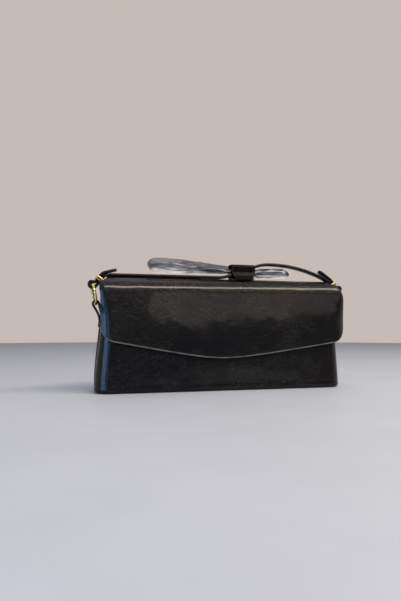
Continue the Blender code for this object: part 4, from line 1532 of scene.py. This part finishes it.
@dataclass
class Hardware:
    """Rings, tabs and sliders at both ends."""

    bag: BagShape
    ends: Ends
    ring_radius: float = 0.0103
    wire: float = 0.0012
    ring_x: float = 0.1325
    lean: float = radians(11)
    tab_leather: float = 0.0017
    tab_half: float = 0.0045
    tab_bottom: float = 0.062
    tab_turn: float = 0.0735
    loop_clearance: float = 0.0008
    end_clearance: float = 0.0014
    tail_step: float = 0.002
    slider_length: float = 0.0035
    slider_wall: float = 0.0011
    slider_clearance: float = 0.00025
    slider_from_ring: float = 0.0078
    slider_corner: float = 0.0010
    slider_bevel: float = 0.00032
    joint: float = radians(152)
    joint_swell: float = 0.00010
    joint_reach: float = 0.0009
    joint_groove: float = 0.00016
    groove_reach: float = 0.00022

    def ring_point(self, share: float) -> Point:
        """The wire's middle at the top (1) or bottom (-1), as x and rise."""
        return np.array([self.ring_x + share * self.ring_radius * sin(self.lean),
                         share * self.ring_radius * cos(self.lean)])

    def build(self, strap: "Strap") -> None:
        """Builds both ends' fittings."""
        bodies = {End.LEFT: (Body.LEFT_RING, Body.LEFT_SLIDER),
                  End.RIGHT: (Body.RIGHT_RING, Body.RIGHT_SLIDER)}
        for end, (ring_body, slider_body) in bodies.items():
            self.build_ring(end, ring_body)
            self.build_tab(end)
            self.build_slider(end, slider_body, strap)

    def build_ring(self, end: End, body: Body) -> None:
        """A round wire ring with its brazed joint."""
        rounds = 120
        around = 20
        centre = np.array([end.value * self.ring_x, self.bag.axis_y, self.bag.axis_height])
        up = np.array([end.value * sin(self.lean), 0.0, cos(self.lean)])
        forward = np.array([0.0, 1.0, 0.0])
        axle = np.cross(up, forward)
        points = []
        for i in range(rounds):
            turn = 2 * pi * i / rounds
            spoke = up * cos(turn) + forward * sin(turn)
            near = abs((turn - self.joint + pi) % (2 * pi) - pi) * self.ring_radius
            wire = self.wire + self.joint_swell * exp(-(near / self.joint_reach) ** 2)
            wire -= self.joint_groove * exp(-(near / self.groove_reach) ** 2)
            points += ring_points(centre + spoke * self.ring_radius, spoke * wire, axle * wire, around)
        shell = (np.array(points), quads(rounds, around, round_rows=True))
        make_piece("gold_ring_" + end.word, shell, FINISH.gold, body, "ring_" + end.word)

    def seat(self, height: float) -> Point:
        """Where the tab's leather lies on the end wall at a height."""
        return np.array([self.ends.face(height, 0.0) + self.bag.seam_gap + self.tab_leather / 2, height])

    def build_tab(self, end: End) -> None:
        """The leather tab that holds a ring, sewn to the end wall."""
        bag = self.bag
        wire = self.ring_point(-1) + np.array([0.0, bag.axis_height])
        reach = self.wire + self.loop_clearance + self.tab_leather / 2
        shift = self.end_clearance - self.loop_clearance
        turn_point = self.seat(self.tab_turn)
        towards = unit(wire - turn_point)
        inward = np.array([-towards[1], towards[0]])
        step = np.array([self.tab_leather + bag.seam_gap, 0.0])
        start = rounded([self.seat(self.tab_bottom), turn_point, wire + inward * reach])
        loop = arc(wire + towards * shift, inward * reach, towards * reach, 0.0, pi, 18)
        back = rounded([wire - inward * reach, turn_point + step,
                        self.seat(self.tab_bottom + self.tail_step) + step])
        track = np.array([(end.value * p[0], p[1]) for p in start + loop + back])
        shell = strip(track, bag.axis_y - self.tab_half, bag.axis_y + self.tab_half,
                      self.tab_leather, Plane.LENGTHWISE)
        make_piece("ring_tab_" + end.word, shell, FINISH.strap, Body.BAG, "tab_" + end.word)
        self.sew_tab(end, step[0])

    def sew_tab(self, end: End, step: float) -> None:
        """A small box of stitches through the tab's two layers."""
        low = self.tab_bottom + self.tail_step + 0.0012
        high = self.tab_turn - 0.0022
        half = self.tab_half - 0.0013
        corners = [(-half, low), (half, low), (half, high), (-half, high), (-half, low)]
        paths = []
        for corner, following in zip(corners, corners[1:]):
            line = []
            for y, z in np.linspace(corner, following, 7):
                x = self.seat(z)[0] + step + self.tab_leather / 2 + 0.0001
                line.append((end.value * x, self.bag.axis_y + y, z))
            paths.append(np.array(line))
        facing = np.array([end.value, 0.0, 0.08])
        Stitching(pitch=0.0020, length=0.0015, radius=0.00022).sew(
            "tab_stitches_" + end.word, paths, [facing] * 4, Body.BAG)

    def build_slider(self, end: End, body: Body, strap: "Strap") -> None:
        """A bevelled metal loop round both layers of a strap end."""
        line = strap.end_line(end)
        middle = line.foot - line.down * self.slider_from_ring + line.out * line.layer / 2
        inner_out = (line.layer + strap.full_thickness) / 2 + self.slider_clearance
        inner_y = strap.half_width + self.slider_clearance
        out3 = np.array([end.value * line.out[0], 0.0, line.out[1]])
        down3 = np.array([end.value * line.down[0], 0.0, line.down[1]])
        across = np.array([0.0, 1.0, 0.0])
        centre = np.array([end.value * middle[0], self.bag.axis_y, self.bag.axis_height + middle[1]])
        half_wall = self.slider_wall / 2
        path = np.array(rounded_box(inner_out + half_wall, inner_y + half_wall, self.slider_corner, 6))
        section = rounded_box(self.slider_length / 2, half_wall, self.slider_bevel, 3)
        points = []
        for (o, y), (no, ny) in zip(path, -directions(path, closed=True)[1]):
            for long, wall in section:
                points.append(centre + out3 * (o + no * wall) + across * (y + ny * wall) + down3 * long)
        shell = (np.array(points), quads(len(path), len(section), round_rows=True))
        make_piece("gold_slider_" + end.word, shell, FINISH.gold, body, "slider_" + end.word)


@dataclass
class EndLine:
    """The sloping end of the strap, as x and rise above the fold's axis."""

    track: list
    foot: Point
    down: Point
    out: Point
    layer: float


def rounded(points: Sequence[Point], rounds: int = 3) -> list:
    """Cuts the corners of a track, keeping its ends."""
    near = 0.75
    track = [np.array(p, float) for p in points]
    for _ in range(rounds):
        cut = [track[0]]
        for a, b in zip(track, track[1:]):
            cut.append(a * near + b * (1 - near))
            cut.append(a * (1 - near) + b * near)
        cut.append(track[-1])
        track = cut
    return track


@dataclass
class Strap:
    """The strap, its keeper and the clear band gathered in it."""

    bag: BagShape
    fittings: Hardware
    half_width: float = 0.0045
    slope: float = radians(52)
    bend: float = 0.004
    swing_clearance: float = 0.0022
    outer_clearance: float = 0.0006
    close_length: float = 0.0038
    tail_lengths: dict[End, float] = field(default_factory=lambda: {End.LEFT: 0.0115, End.RIGHT: 0.0150})
    tail_lifts: dict[End, float] = field(
        default_factory=lambda: {End.LEFT: radians(14), End.RIGHT: radians(35)})
    hump: float = 0.0152
    hump_start: float = -0.0058
    hump_up: float = 0.0575
    hump_fall: float = 0.055
    hump_bend: int = 6
    full_thickness: float = 0.0027
    full_from: float = 0.004
    keeper_left: float = 0.0085
    keeper_right: float = 0.0350
    keeper_leather: float = 0.0013
    keeper_rise: float = 0.0156
    pinch_start: float = 0.0015
    pinch_length: float = 0.0020
    pinch_inner: float = 0.0002
    tongue: float = radians(31)
    tongue_round: float = 0.0120
    tongue_flare: float = 0.0017
    waist: float = 0.0006
    tip: float = 0.0032
    tip_narrow: float = 0.55
    keeper_clear: float = 0.002

    def end_line(self, end: End = End.RIGHT) -> EndLine:
        """The way out, the turn under the wire, and the way back with its tail."""
        bag = self.bag
        lift = self.tail_lifts[end]
        down = np.array([cos(self.slope), -sin(self.slope)])
        out = np.array([sin(self.slope), cos(self.slope)])
        inner = self.fittings.wire + self.swing_clearance + bag.strap / 2
        outer = self.fittings.wire + self.outer_clearance + bag.strap / 2
        radius = (inner + outer) / 2
        centre = self.fittings.ring_point(1) + out * (outer - inner) / 2
        foot = centre - out * radius
        level = bag.strap_level
        crossing = foot[0] - (level - foot[1]) / tan(self.slope)
        trim = self.bend * tan(self.slope / 2)
        bend_centre = np.array([crossing - trim, level - self.bend])
        along, up = np.eye(2)
        track = arc(bend_centre, self.bend * up, self.bend * along, 0.0, self.slope, 12)
        length = float(np.linalg.norm(foot - track[-1]))
        for k in range(1, 13):
            track.append(foot - down * length * (1 - k / 12))
        track += arc(centre, -out * radius, down * radius, 0.0, pi, 20)[1:-1]
        layer = self.full_thickness + bag.seam_gap
        for k in range(21):
            back = length * k / 20
            share = smooth(back / self.close_length)
            track.append(foot - down * back + out * between(2 * radius, layer, share))
        wide = self.bend + layer
        track += arc(bend_centre, wide * up, wide * along, self.slope, lift, 8)[1:]
        tail = np.array([-cos(lift), sin(lift)])
        last = track[-1]
        for k in range(1, 9):
            track.append(last + tail * self.tail_lengths[end] * k / 8)
        return EndLine(track, foot, down, out, layer)

    def rise(self, x: float) -> float:
        """How far the strap arches up off the top of the bag."""
        bend_x, bend_rise = self.end_line().track[self.hump_bend]
        up = smooth((x - self.hump_start) / self.hump_up)
        fall = max((x - self.hump_fall) / (bend_x - self.hump_fall), 0.0) ** 2
        return self.hump * up * (1 - fall) + (bend_rise - self.bag.strap_level) * fall

    def pinch(self, x: float) -> float:
        """From 0 outside the keeper to 1 where strap and film lie side by side."""
        enter = (x - self.keeper_left - self.pinch_start) / self.pinch_length
        leave = (self.keeper_right - self.pinch_start - x) / self.pinch_length
        return smooth(min(enter, leave))

    def build(self) -> None:
        """Builds the strap, the keeper and the clear band."""
        self.build_strap()
        self.build_keeper()
        ClearBand(self.bag, self).build()

    def track(self) -> Point:
        """The strap's whole middle line from tail to tail."""
        right = [(p[0], p[1]) for p in self.end_line(End.RIGHT).track[self.hump_bend:]]
        left = [(-p[0], p[1]) for p in reversed(self.end_line(End.LEFT).track)]
        count = 150
        middle = []
        for k in range(1, count):
            x = between(left[-1][0], right[0][0], k / count)
            middle.append((x, self.bag.strap_level + self.rise(x)))
        return np.array([(x, rise + self.bag.axis_height) for x, rise in left + middle + right])

    def end_length(self) -> float:
        """The length of leather in one turned-back end."""
        return float(lengths_along(np.array(self.end_line().track))[-1])

    def build_strap(self) -> None:
        """The strap, narrowed inside the keeper and rounded at its tails."""
        track = self.track()
        lengths = lengths_along(track)
        low = []
        high = []
        thick = []
        lifts = []
        turned_back = self.end_length()
        for (x, _), along in zip(track, lengths):
            from_end = min(along, lengths[-1] - along)
            tight = self.pinch(x)
            thick.append(between(self.full_thickness, self.bag.strap, tight))
            lifts.append(smooth((from_end - turned_back) / self.full_from) * (1 - tight))
            narrow = self.half_width * self.tip_narrow * quarter_round(max(1 - from_end / self.tip, 0.0))
            low.append(self.bag.axis_y + between(-self.half_width, self.pinch_inner, tight) + narrow)
            high.append(self.bag.axis_y + self.half_width - narrow)
        raised = track.copy()
        raised[:, 1] += (self.full_thickness - self.bag.strap) / 2 * np.array(lifts)
        shell = strip(raised, np.array(low), np.array(high), np.array(thick), Plane.LENGTHWISE)
        make_piece("strap_leather", shell, FINISH.strap, Body.STRAP, "strap")
        self.sew_strap(track)

    def sew_strap(self, track: Point) -> None:
        """Stitches along both edges, on the strap's upper face."""
        normal = directions(track)[1]
        up = np.stack([normal[:, 0], np.zeros(len(track)), normal[:, 1]], axis=1)
        rise = self.full_thickness - self.bag.strap / 2 + 0.00016
        inner = 62
        lying = range(inner, len(track) - inner)
        runs = ([i for i in lying if track[i][0] <= self.keeper_left - self.keeper_clear],
                [i for i in lying if track[i][0] >= self.keeper_right + self.keeper_clear])
        paths = []
        facings = []
        for side in (-1, 1):
            y = self.bag.axis_y + side * (self.half_width - 0.0014)
            for run in runs:
                flat = track[run] + normal[run] * rise
                paths.append(np.stack([flat[:, 0], np.full(len(run), y), flat[:, 1]], axis=1))
                facings.append(up[run])
        Stitching(pitch=0.0027, length=0.0020, radius=0.00022).sew(
            "strap_stitches", paths, facings, Body.STRAP)

    def build_keeper(self) -> None:
        """A leather strip wound round strap and film, ending in a rounded tongue."""
        bag = self.bag
        thick = self.keeper_leather
        radius = bag.fold_radius + bag.seam_gap + thick / 2
        wall = self.half_width + bag.seam_gap + thick / 2
        top = bag.fold_radius + self.keeper_rise - thick / 2
        bend = 0.0022
        low_bend = 0.0013
        track = [(-wall + thick / 2 + 0.0006, radius), (-wall / 3, radius), (wall / 3, radius)]
        corners = [(wall - low_bend, radius + low_bend, -90, low_bend),
                   (wall - bend, top - bend, 0, bend), (-wall + bend, top - bend, 90, bend)]
        for cy, cz, start, turn_radius in corners:
            first, second = turn_radius * np.eye(2)
            track += arc(np.array([cy, cz]), first, second, radians(start), radians(start + 90), 8)
        begin = asin(wall / radius)
        foot = radius * cos(begin)
        wall_steps = 18
        for k in range(1, wall_steps + 1):
            share = k / wall_steps
            draw_in = self.waist * exp(-((share - 0.42) / 0.11) ** 2)
            flare = self.tongue_flare * smooth((share - 0.42) / 0.5)
            track.append((-wall + draw_in - flare, between(top - bend, foot + 0.0010, share)))
        steps = 10
        seat = asin((wall + self.tongue_flare) / (radius + 0.0008))
        for k in range(1, steps + 1):
            angle = between(seat, self.tongue, k / steps)
            lift = 0.0008 + 0.0004 * k / steps
            track.append((-(radius + lift) * sin(angle), (radius + lift) * cos(angle)))
        lengths = lengths_along(np.array(track))
        insets = np.array([self.tongue_round * quarter_round(max(1 - left / self.tongue_round, 0.0))
                           for left in lengths[-1] - lengths])
        line = np.array([(bag.axis_y + y, bag.axis_height + z) for y, z in track])
        shell = strip(line, self.keeper_left + insets, self.keeper_right - insets, thick, Plane.CROSSWISE)
        make_piece("keeper_leather", shell, FINISH.keeper, Body.STRAP, "keeper")
        self.sew_keeper(line, insets, thick)

    def sew_keeper(self, line: Point, insets: Point, thick: float) -> None:
        """Stitches along both edges of the keeper's top and tongue."""
        out = -directions(line)[1]
        run = list(range(14, len(line) - 3))
        paths = []
        facings = []
        for edge, side in ((self.keeper_left, 1), (self.keeper_right, -1)):
            flat = line[run] + out[run] * (thick / 2 * 1.1)
            x = edge + side * (insets[run] + 0.0016)
            paths.append(np.stack([x, flat[:, 0], flat[:, 1]], axis=1))
            facings.append(np.stack([np.zeros(len(run)), out[run][:, 0], out[run][:, 1]], axis=1))
        Stitching(pitch=0.0024, length=0.0017, radius=0.00020).sew(
            "keeper_stitches", paths, facings, Body.STRAP)


@dataclass
class ClearBand:
    """A clear band in two flattened loops, creased where the keeper gathers it."""

    bag: BagShape
    strap: Strap
    film: float = 0.00030
    half: float = 0.0042
    pinch_outer: float = 0.0039
    pinch_inner: float = 0.0006
    left_end: float = -0.079
    right_end: float = 0.0745
    left_top: float = 0.0180
    left_low: float = 0.0046
    gate_top: float = 0.0112
    gate_low: float = 0.0056
    exit_top: float = 0.0098
    right_top: float = 0.0120
    exit_low: float = 0.0020
    left_round: float = 0.010
    right_round: float = 0.006
    left_flat: float = 0.016
    left_tilt: float = radians(36)
    right_tilt: float = radians(18)
    turn_up: float = 0.80
    flute: float = 0.0007
    lowest: float = 0.0016
    over_strap: float = 0.0034
    # painted light along the band: the upper strand's painted shade, the lower strand's painted highlight,
    # and a darker painted shade near the keeper
    upper_tone: float = 0.0
    lower_tone: float = 0.56
    gate_tone: float = 0.30
    dark_reach: float = 0.055
    across: int = 10
    steps: int = 280

    def loop(self) -> Point:
        """The band's middle line round both loops, as x and rise over the top."""
        gate = self.strap.keeper_left
        exit_x = self.strap.keeper_right
        pinched = self.strap.pinch_start + self.strap.pinch_length
        left_x = self.left_end + self.left_round
        right_x = self.right_end - self.right_round
        flat_x = left_x + self.left_flat
        upper = rounded([(left_x, self.left_top), (flat_x, self.left_top), (gate, self.gate_top),
                         (gate + pinched, self.gate_top), (exit_x - pinched, self.exit_top),
                         (exit_x, self.exit_top), (between(exit_x, right_x, 0.4), self.right_top),
                         (right_x, self.right_top)])
        lower = rounded([(right_x, self.exit_low), (exit_x, self.exit_low),
                         (exit_x - pinched, self.exit_low), (gate + pinched, self.gate_low),
                         (gate, self.gate_low), (flat_x, self.left_low), (left_x, self.left_low)])
        right = self.turn(right_x, self.right_top, self.exit_low, self.right_round, 1)
        left = self.turn(left_x, self.left_top, self.left_low, self.left_round, -1)
        track = np.array(upper + right + lower + list(reversed(left)))
        closed = np.concatenate([track, track[:1]])
        lengths = lengths_along(closed)
        marks = np.linspace(0, lengths[-1], self.steps + 1)[:-1]
        return np.stack([np.interp(marks, lengths, closed[:, k]) for k in range(2)], axis=1)

    @staticmethod
    def turn(x: float, high: float, low: float, length: float, side: int) -> list:
        """The rounded end of a loop, from its upper to its lower strand."""
        turns = [pi * k / 16 for k in range(1, 16)]
        return [np.array([x + side * length * sin(turn), (high + low) / 2 + (high - low) / 2 * cos(turn)])
                for turn in turns]

    def gap_at(self, track: Point, runs_right: Point) -> Point:
        """How far apart the upper and the lower strand lie at each point."""
        rises = []
        for strand in (track[runs_right > 0.5], track[runs_right < -0.5]):
            strand = strand[np.argsort(strand[:, 0])]
            rises.append(np.interp(track[:, 0], strand[:, 0], strand[:, 1]))
        return np.maximum(rises[0] - rises[1], 0.0)

    def build(self) -> None:
        """Builds the band as one closed thin sheet, its lower strand turned up behind."""
        track = self.loop()
        tangent, normal = directions(track, closed=True)
        gaps = self.gap_at(track, tangent[:, 0])
        base = self.bag.axis_height + self.bag.fold_radius
        outer = []
        inner = []
        painted_light_values = []
        for spot, push, run, gap in zip(track, normal, tangent[:, 0], gaps):
            tight = self.strap.pinch(spot[0])
            near = -between(self.half, self.pinch_outer, tight)
            far = between(self.half, -self.pinch_inner, tight)
            free = 1 - tight
            level = smooth((1 + run) / 2)
            turned = self.turn_up * gap * free * (1 - level)
            tilt = self.left_tilt if spot[0] < self.strap.keeper_left else self.right_tilt
            # painted light: painted shade on the upper strand and near the keeper, painted highlight on the
            # lower strand
            near_keeper = smooth(1 - abs(spot[0] - self.strap.keeper_left) / self.dark_reach)
            lower = between(self.lower_tone, self.gate_tone, near_keeper)
            painted_light_values.append(between(lower, self.upper_tone, level))
            on_strap = free if spot[0] < self.strap.keeper_right else 0.0
            floor = between(self.lowest, self.over_strap, on_strap)
            line_out = []
            line_in = []
            for j in range(self.across + 1):
                share = j / self.across
                y = between(near, far, share)
                crumple = noise.noise(Vector((spot[0] * 120, share * 2.6, spot[1] * 90 + 3)))
                flute = self.flute * crumple * free
                rise = turned * share + y * tan(tilt) * free * level + flute
                place = np.array([spot[0] + push[0] * flute, spot[1] + rise])
                for line, sign in ((line_out, 1), (line_in, -1)):
                    flat = place + push * sign * self.film / 2
                    up = max(flat[1], floor + sign * self.film / 2)
                    line.append((flat[0], self.bag.axis_y + y, base + up))
            outer.append(line_out)
            inner.append(line_in)
        shell = self.loop_shell(np.array(outer), np.array(inner))
        made = make_piece("clear_band", shell, FINISH.film, Body.STRAP, "clear_film")
        painted_light_tone = made.data.attributes.new(FINISH.film.tone_name, "FLOAT", "POINT")
        flat = np.tile(np.repeat(np.array(painted_light_values), self.across + 1), 2)
        painted_light_tone.data.foreach_set("value", flat.astype(np.float32))

    @staticmethod
    def loop_shell(outer: Point, inner: Point) -> Shell:
        """Joins two grids that close on themselves into one thin sheet."""
        rows, columns = outer.shape[:2]
        count = rows * columns
        faces = []
        for ring in quads(rows, columns, round_rows=True, round_columns=False):
            faces += [ring, [count + k for k in reversed(ring)]]
        for i in range(rows):
            for here in (i * columns, (i + 1) * columns - 1):
                there = (here + columns) % count
                faces.append([here, there, count + there, count + here])
        return np.concatenate([outer.reshape(-1, 3), inner.reshape(-1, 3)]), faces


@dataclass(frozen=True)
class Softbox:
    """One soft lamp: where it stands, what it faces, its size, strength and colour."""

    name: str
    place: tuple[float, float, float]
    size: tuple[float, float]
    radiance: float
    colour: Colour
    aim: tuple[float, float, float] = (0.0, 0.0, 0.07)

    def build(self) -> None:
        """Hangs the lamp."""
        data = bpy.data.lights.new(self.name, "AREA")
        data.shape = "RECTANGLE"
        data.size, data.size_y = self.size
        data.energy = self.radiance * pi * self.size[0] * self.size[1]
        data.color = self.colour
        lamp = show(self.name, data)
        lamp.location = self.place
        way = Vector(self.aim) - Vector(self.place)
        lamp.rotation_euler = way.to_track_quat("-Z", "Y").to_euler()


@dataclass
class Studio:
    """The pale table, the pale room, the soft lamps and the camera."""

    camera_place: tuple[float, float, float] = (-0.185, -0.566, 0.062)
    yaw: float = radians(16.10)
    pitch: float = radians(2.9)
    lens: float = 50.5
    table: Finish = TableTop("table_top")
    room: Colour = (0.565, 0.500, 0.460)
    fill: Colour = (0.86, 0.90, 1.0)
    fill_strength: float = 0.42
    table_radius: float = 2.1
    curtain_radius: float = 1.45
    curtain_height: float = 1.35
    curtain_turn: float = radians(68)
    curtain: Finish = CurtainCloth("curtain_cloth")
    lamps: list[Softbox] = field(default_factory=lambda: [
        Softbox("top_front_lamp", (0.50, -0.72, 1.12), (1.5, 0.24), 24.0, (1.0, 0.86, 0.70)),
        Softbox("front_lamp", (0.68, -1.08, 0.42), (1.1, 0.20), 2.1, (1.0, 0.86, 0.74)),
        Softbox("side_lamp", (-1.10, -0.58, 0.14), (0.62, 0.20), 9.5, (0.34, 0.58, 1.0)),
        Softbox("window_lamp", (-0.90, -1.00, 0.22), (0.60, 0.50), 2.6, (0.34, 0.60, 1.0)),
        Softbox("high_lamp", (-0.1, 0.3, 1.5), (1.2, 1.0), 1.2, (1.0, 0.97, 0.94)),
    ])

    def build(self) -> None:
        """Builds everything round the bag."""
        self.build_camera()
        self.build_table()
        self.build_curtain()
        self.build_room()
        for lamp in self.lamps:
            lamp.build()

    def build_camera(self) -> None:
        """The camera at the photograph's place."""
        data = bpy.data.cameras.new("camera")
        data.sensor_fit = "HORIZONTAL"
        data.sensor_width = 36.0
        data.lens = self.lens
        data.clip_start = 0.01
        camera = show("camera", data)
        camera.location = self.camera_place
        camera.rotation_euler = (radians(90) + self.pitch, 0.0, -self.yaw)
        bpy.context.scene.camera = camera

    def build_table(self) -> None:
        """The pale table top."""
        steps = 96
        turns = [2 * pi * k / steps for k in range(steps)]
        rim = [(self.table_radius * cos(t), self.table_radius * sin(t), 0.0) for t in turns]
        mesh = bpy.data.meshes.new("table")
        mesh.from_pydata(rim, [], [list(range(steps))])
        mesh.materials.append(self.table.material())
        show("table", mesh)

    def build_curtain(self) -> None:
        """A dark curtain round the front, which only the bag's gloss shows."""
        steps = 24
        points = []
        for k in range(steps + 1):
            turn = self.curtain_turn * (2 * k / steps - 1)
            x = self.curtain_radius * sin(turn)
            y = -self.curtain_radius * cos(turn)
            points += [(x, y, 0.001), (x, y, self.curtain_height)]
        faces = [[2 * k, 2 * k + 1, 2 * k + 3, 2 * k + 2] for k in range(steps)]
        mesh = bpy.data.meshes.new("front_curtain")
        mesh.from_pydata(points, [], faces)
        mesh.materials.append(self.curtain.material())
        curtain = show("front_curtain", mesh)
        curtain.visible_camera = False
        curtain.visible_diffuse = False
        curtain.visible_transmission = False
        curtain.visible_shadow = False

    def build_room(self) -> None:
        """An even pale room."""
        world = bpy.data.worlds.new("room")
        world.use_nodes = True
        bpy.context.scene.world = world
        tree = Tree(world.node_tree)
        back = world.node_tree.nodes["Background"]
        seen = tree.add("Background", {"Color": self.room, "Strength": 1.0})
        tree.set(back, {"Color": self.fill, "Strength": self.fill_strength})
        rays = tree.add("LightPath").outputs
        plain = tree.sum("MAXIMUM", rays["Is Camera Ray"], rays["Is Glossy Ray"])
        share = tree.sum("MAXIMUM", plain, rays["Is Transmission Ray"])
        mixed = tree.add("MixShader", {0: share, 1: back.outputs[0], 2: seen.outputs[0]}).outputs[0]
        tree.set(world.node_tree.nodes["World Output"], {"Surface": mixed})


def main() -> None:
    """Builds the studio and every piece of the bag, in order."""
    logging.basicConfig(level=logging.INFO, format="%(name)s %(message)s")
    bag = BagShape()
    Studio().build()
    Cover(bag, FlapShape(bag)).build()
    FrontPanel(bag).build()
    ends = Ends(bag)
    ends.build()
    Inside(bag, ends).build()
    fittings = Hardware(bag, ends)
    strap = Strap(bag, fittings)
    strap.build()
    fittings.build(strap)
    bpy.context.scene.view_settings.view_transform = "Standard"


if __name__ == "__main__":
    main()
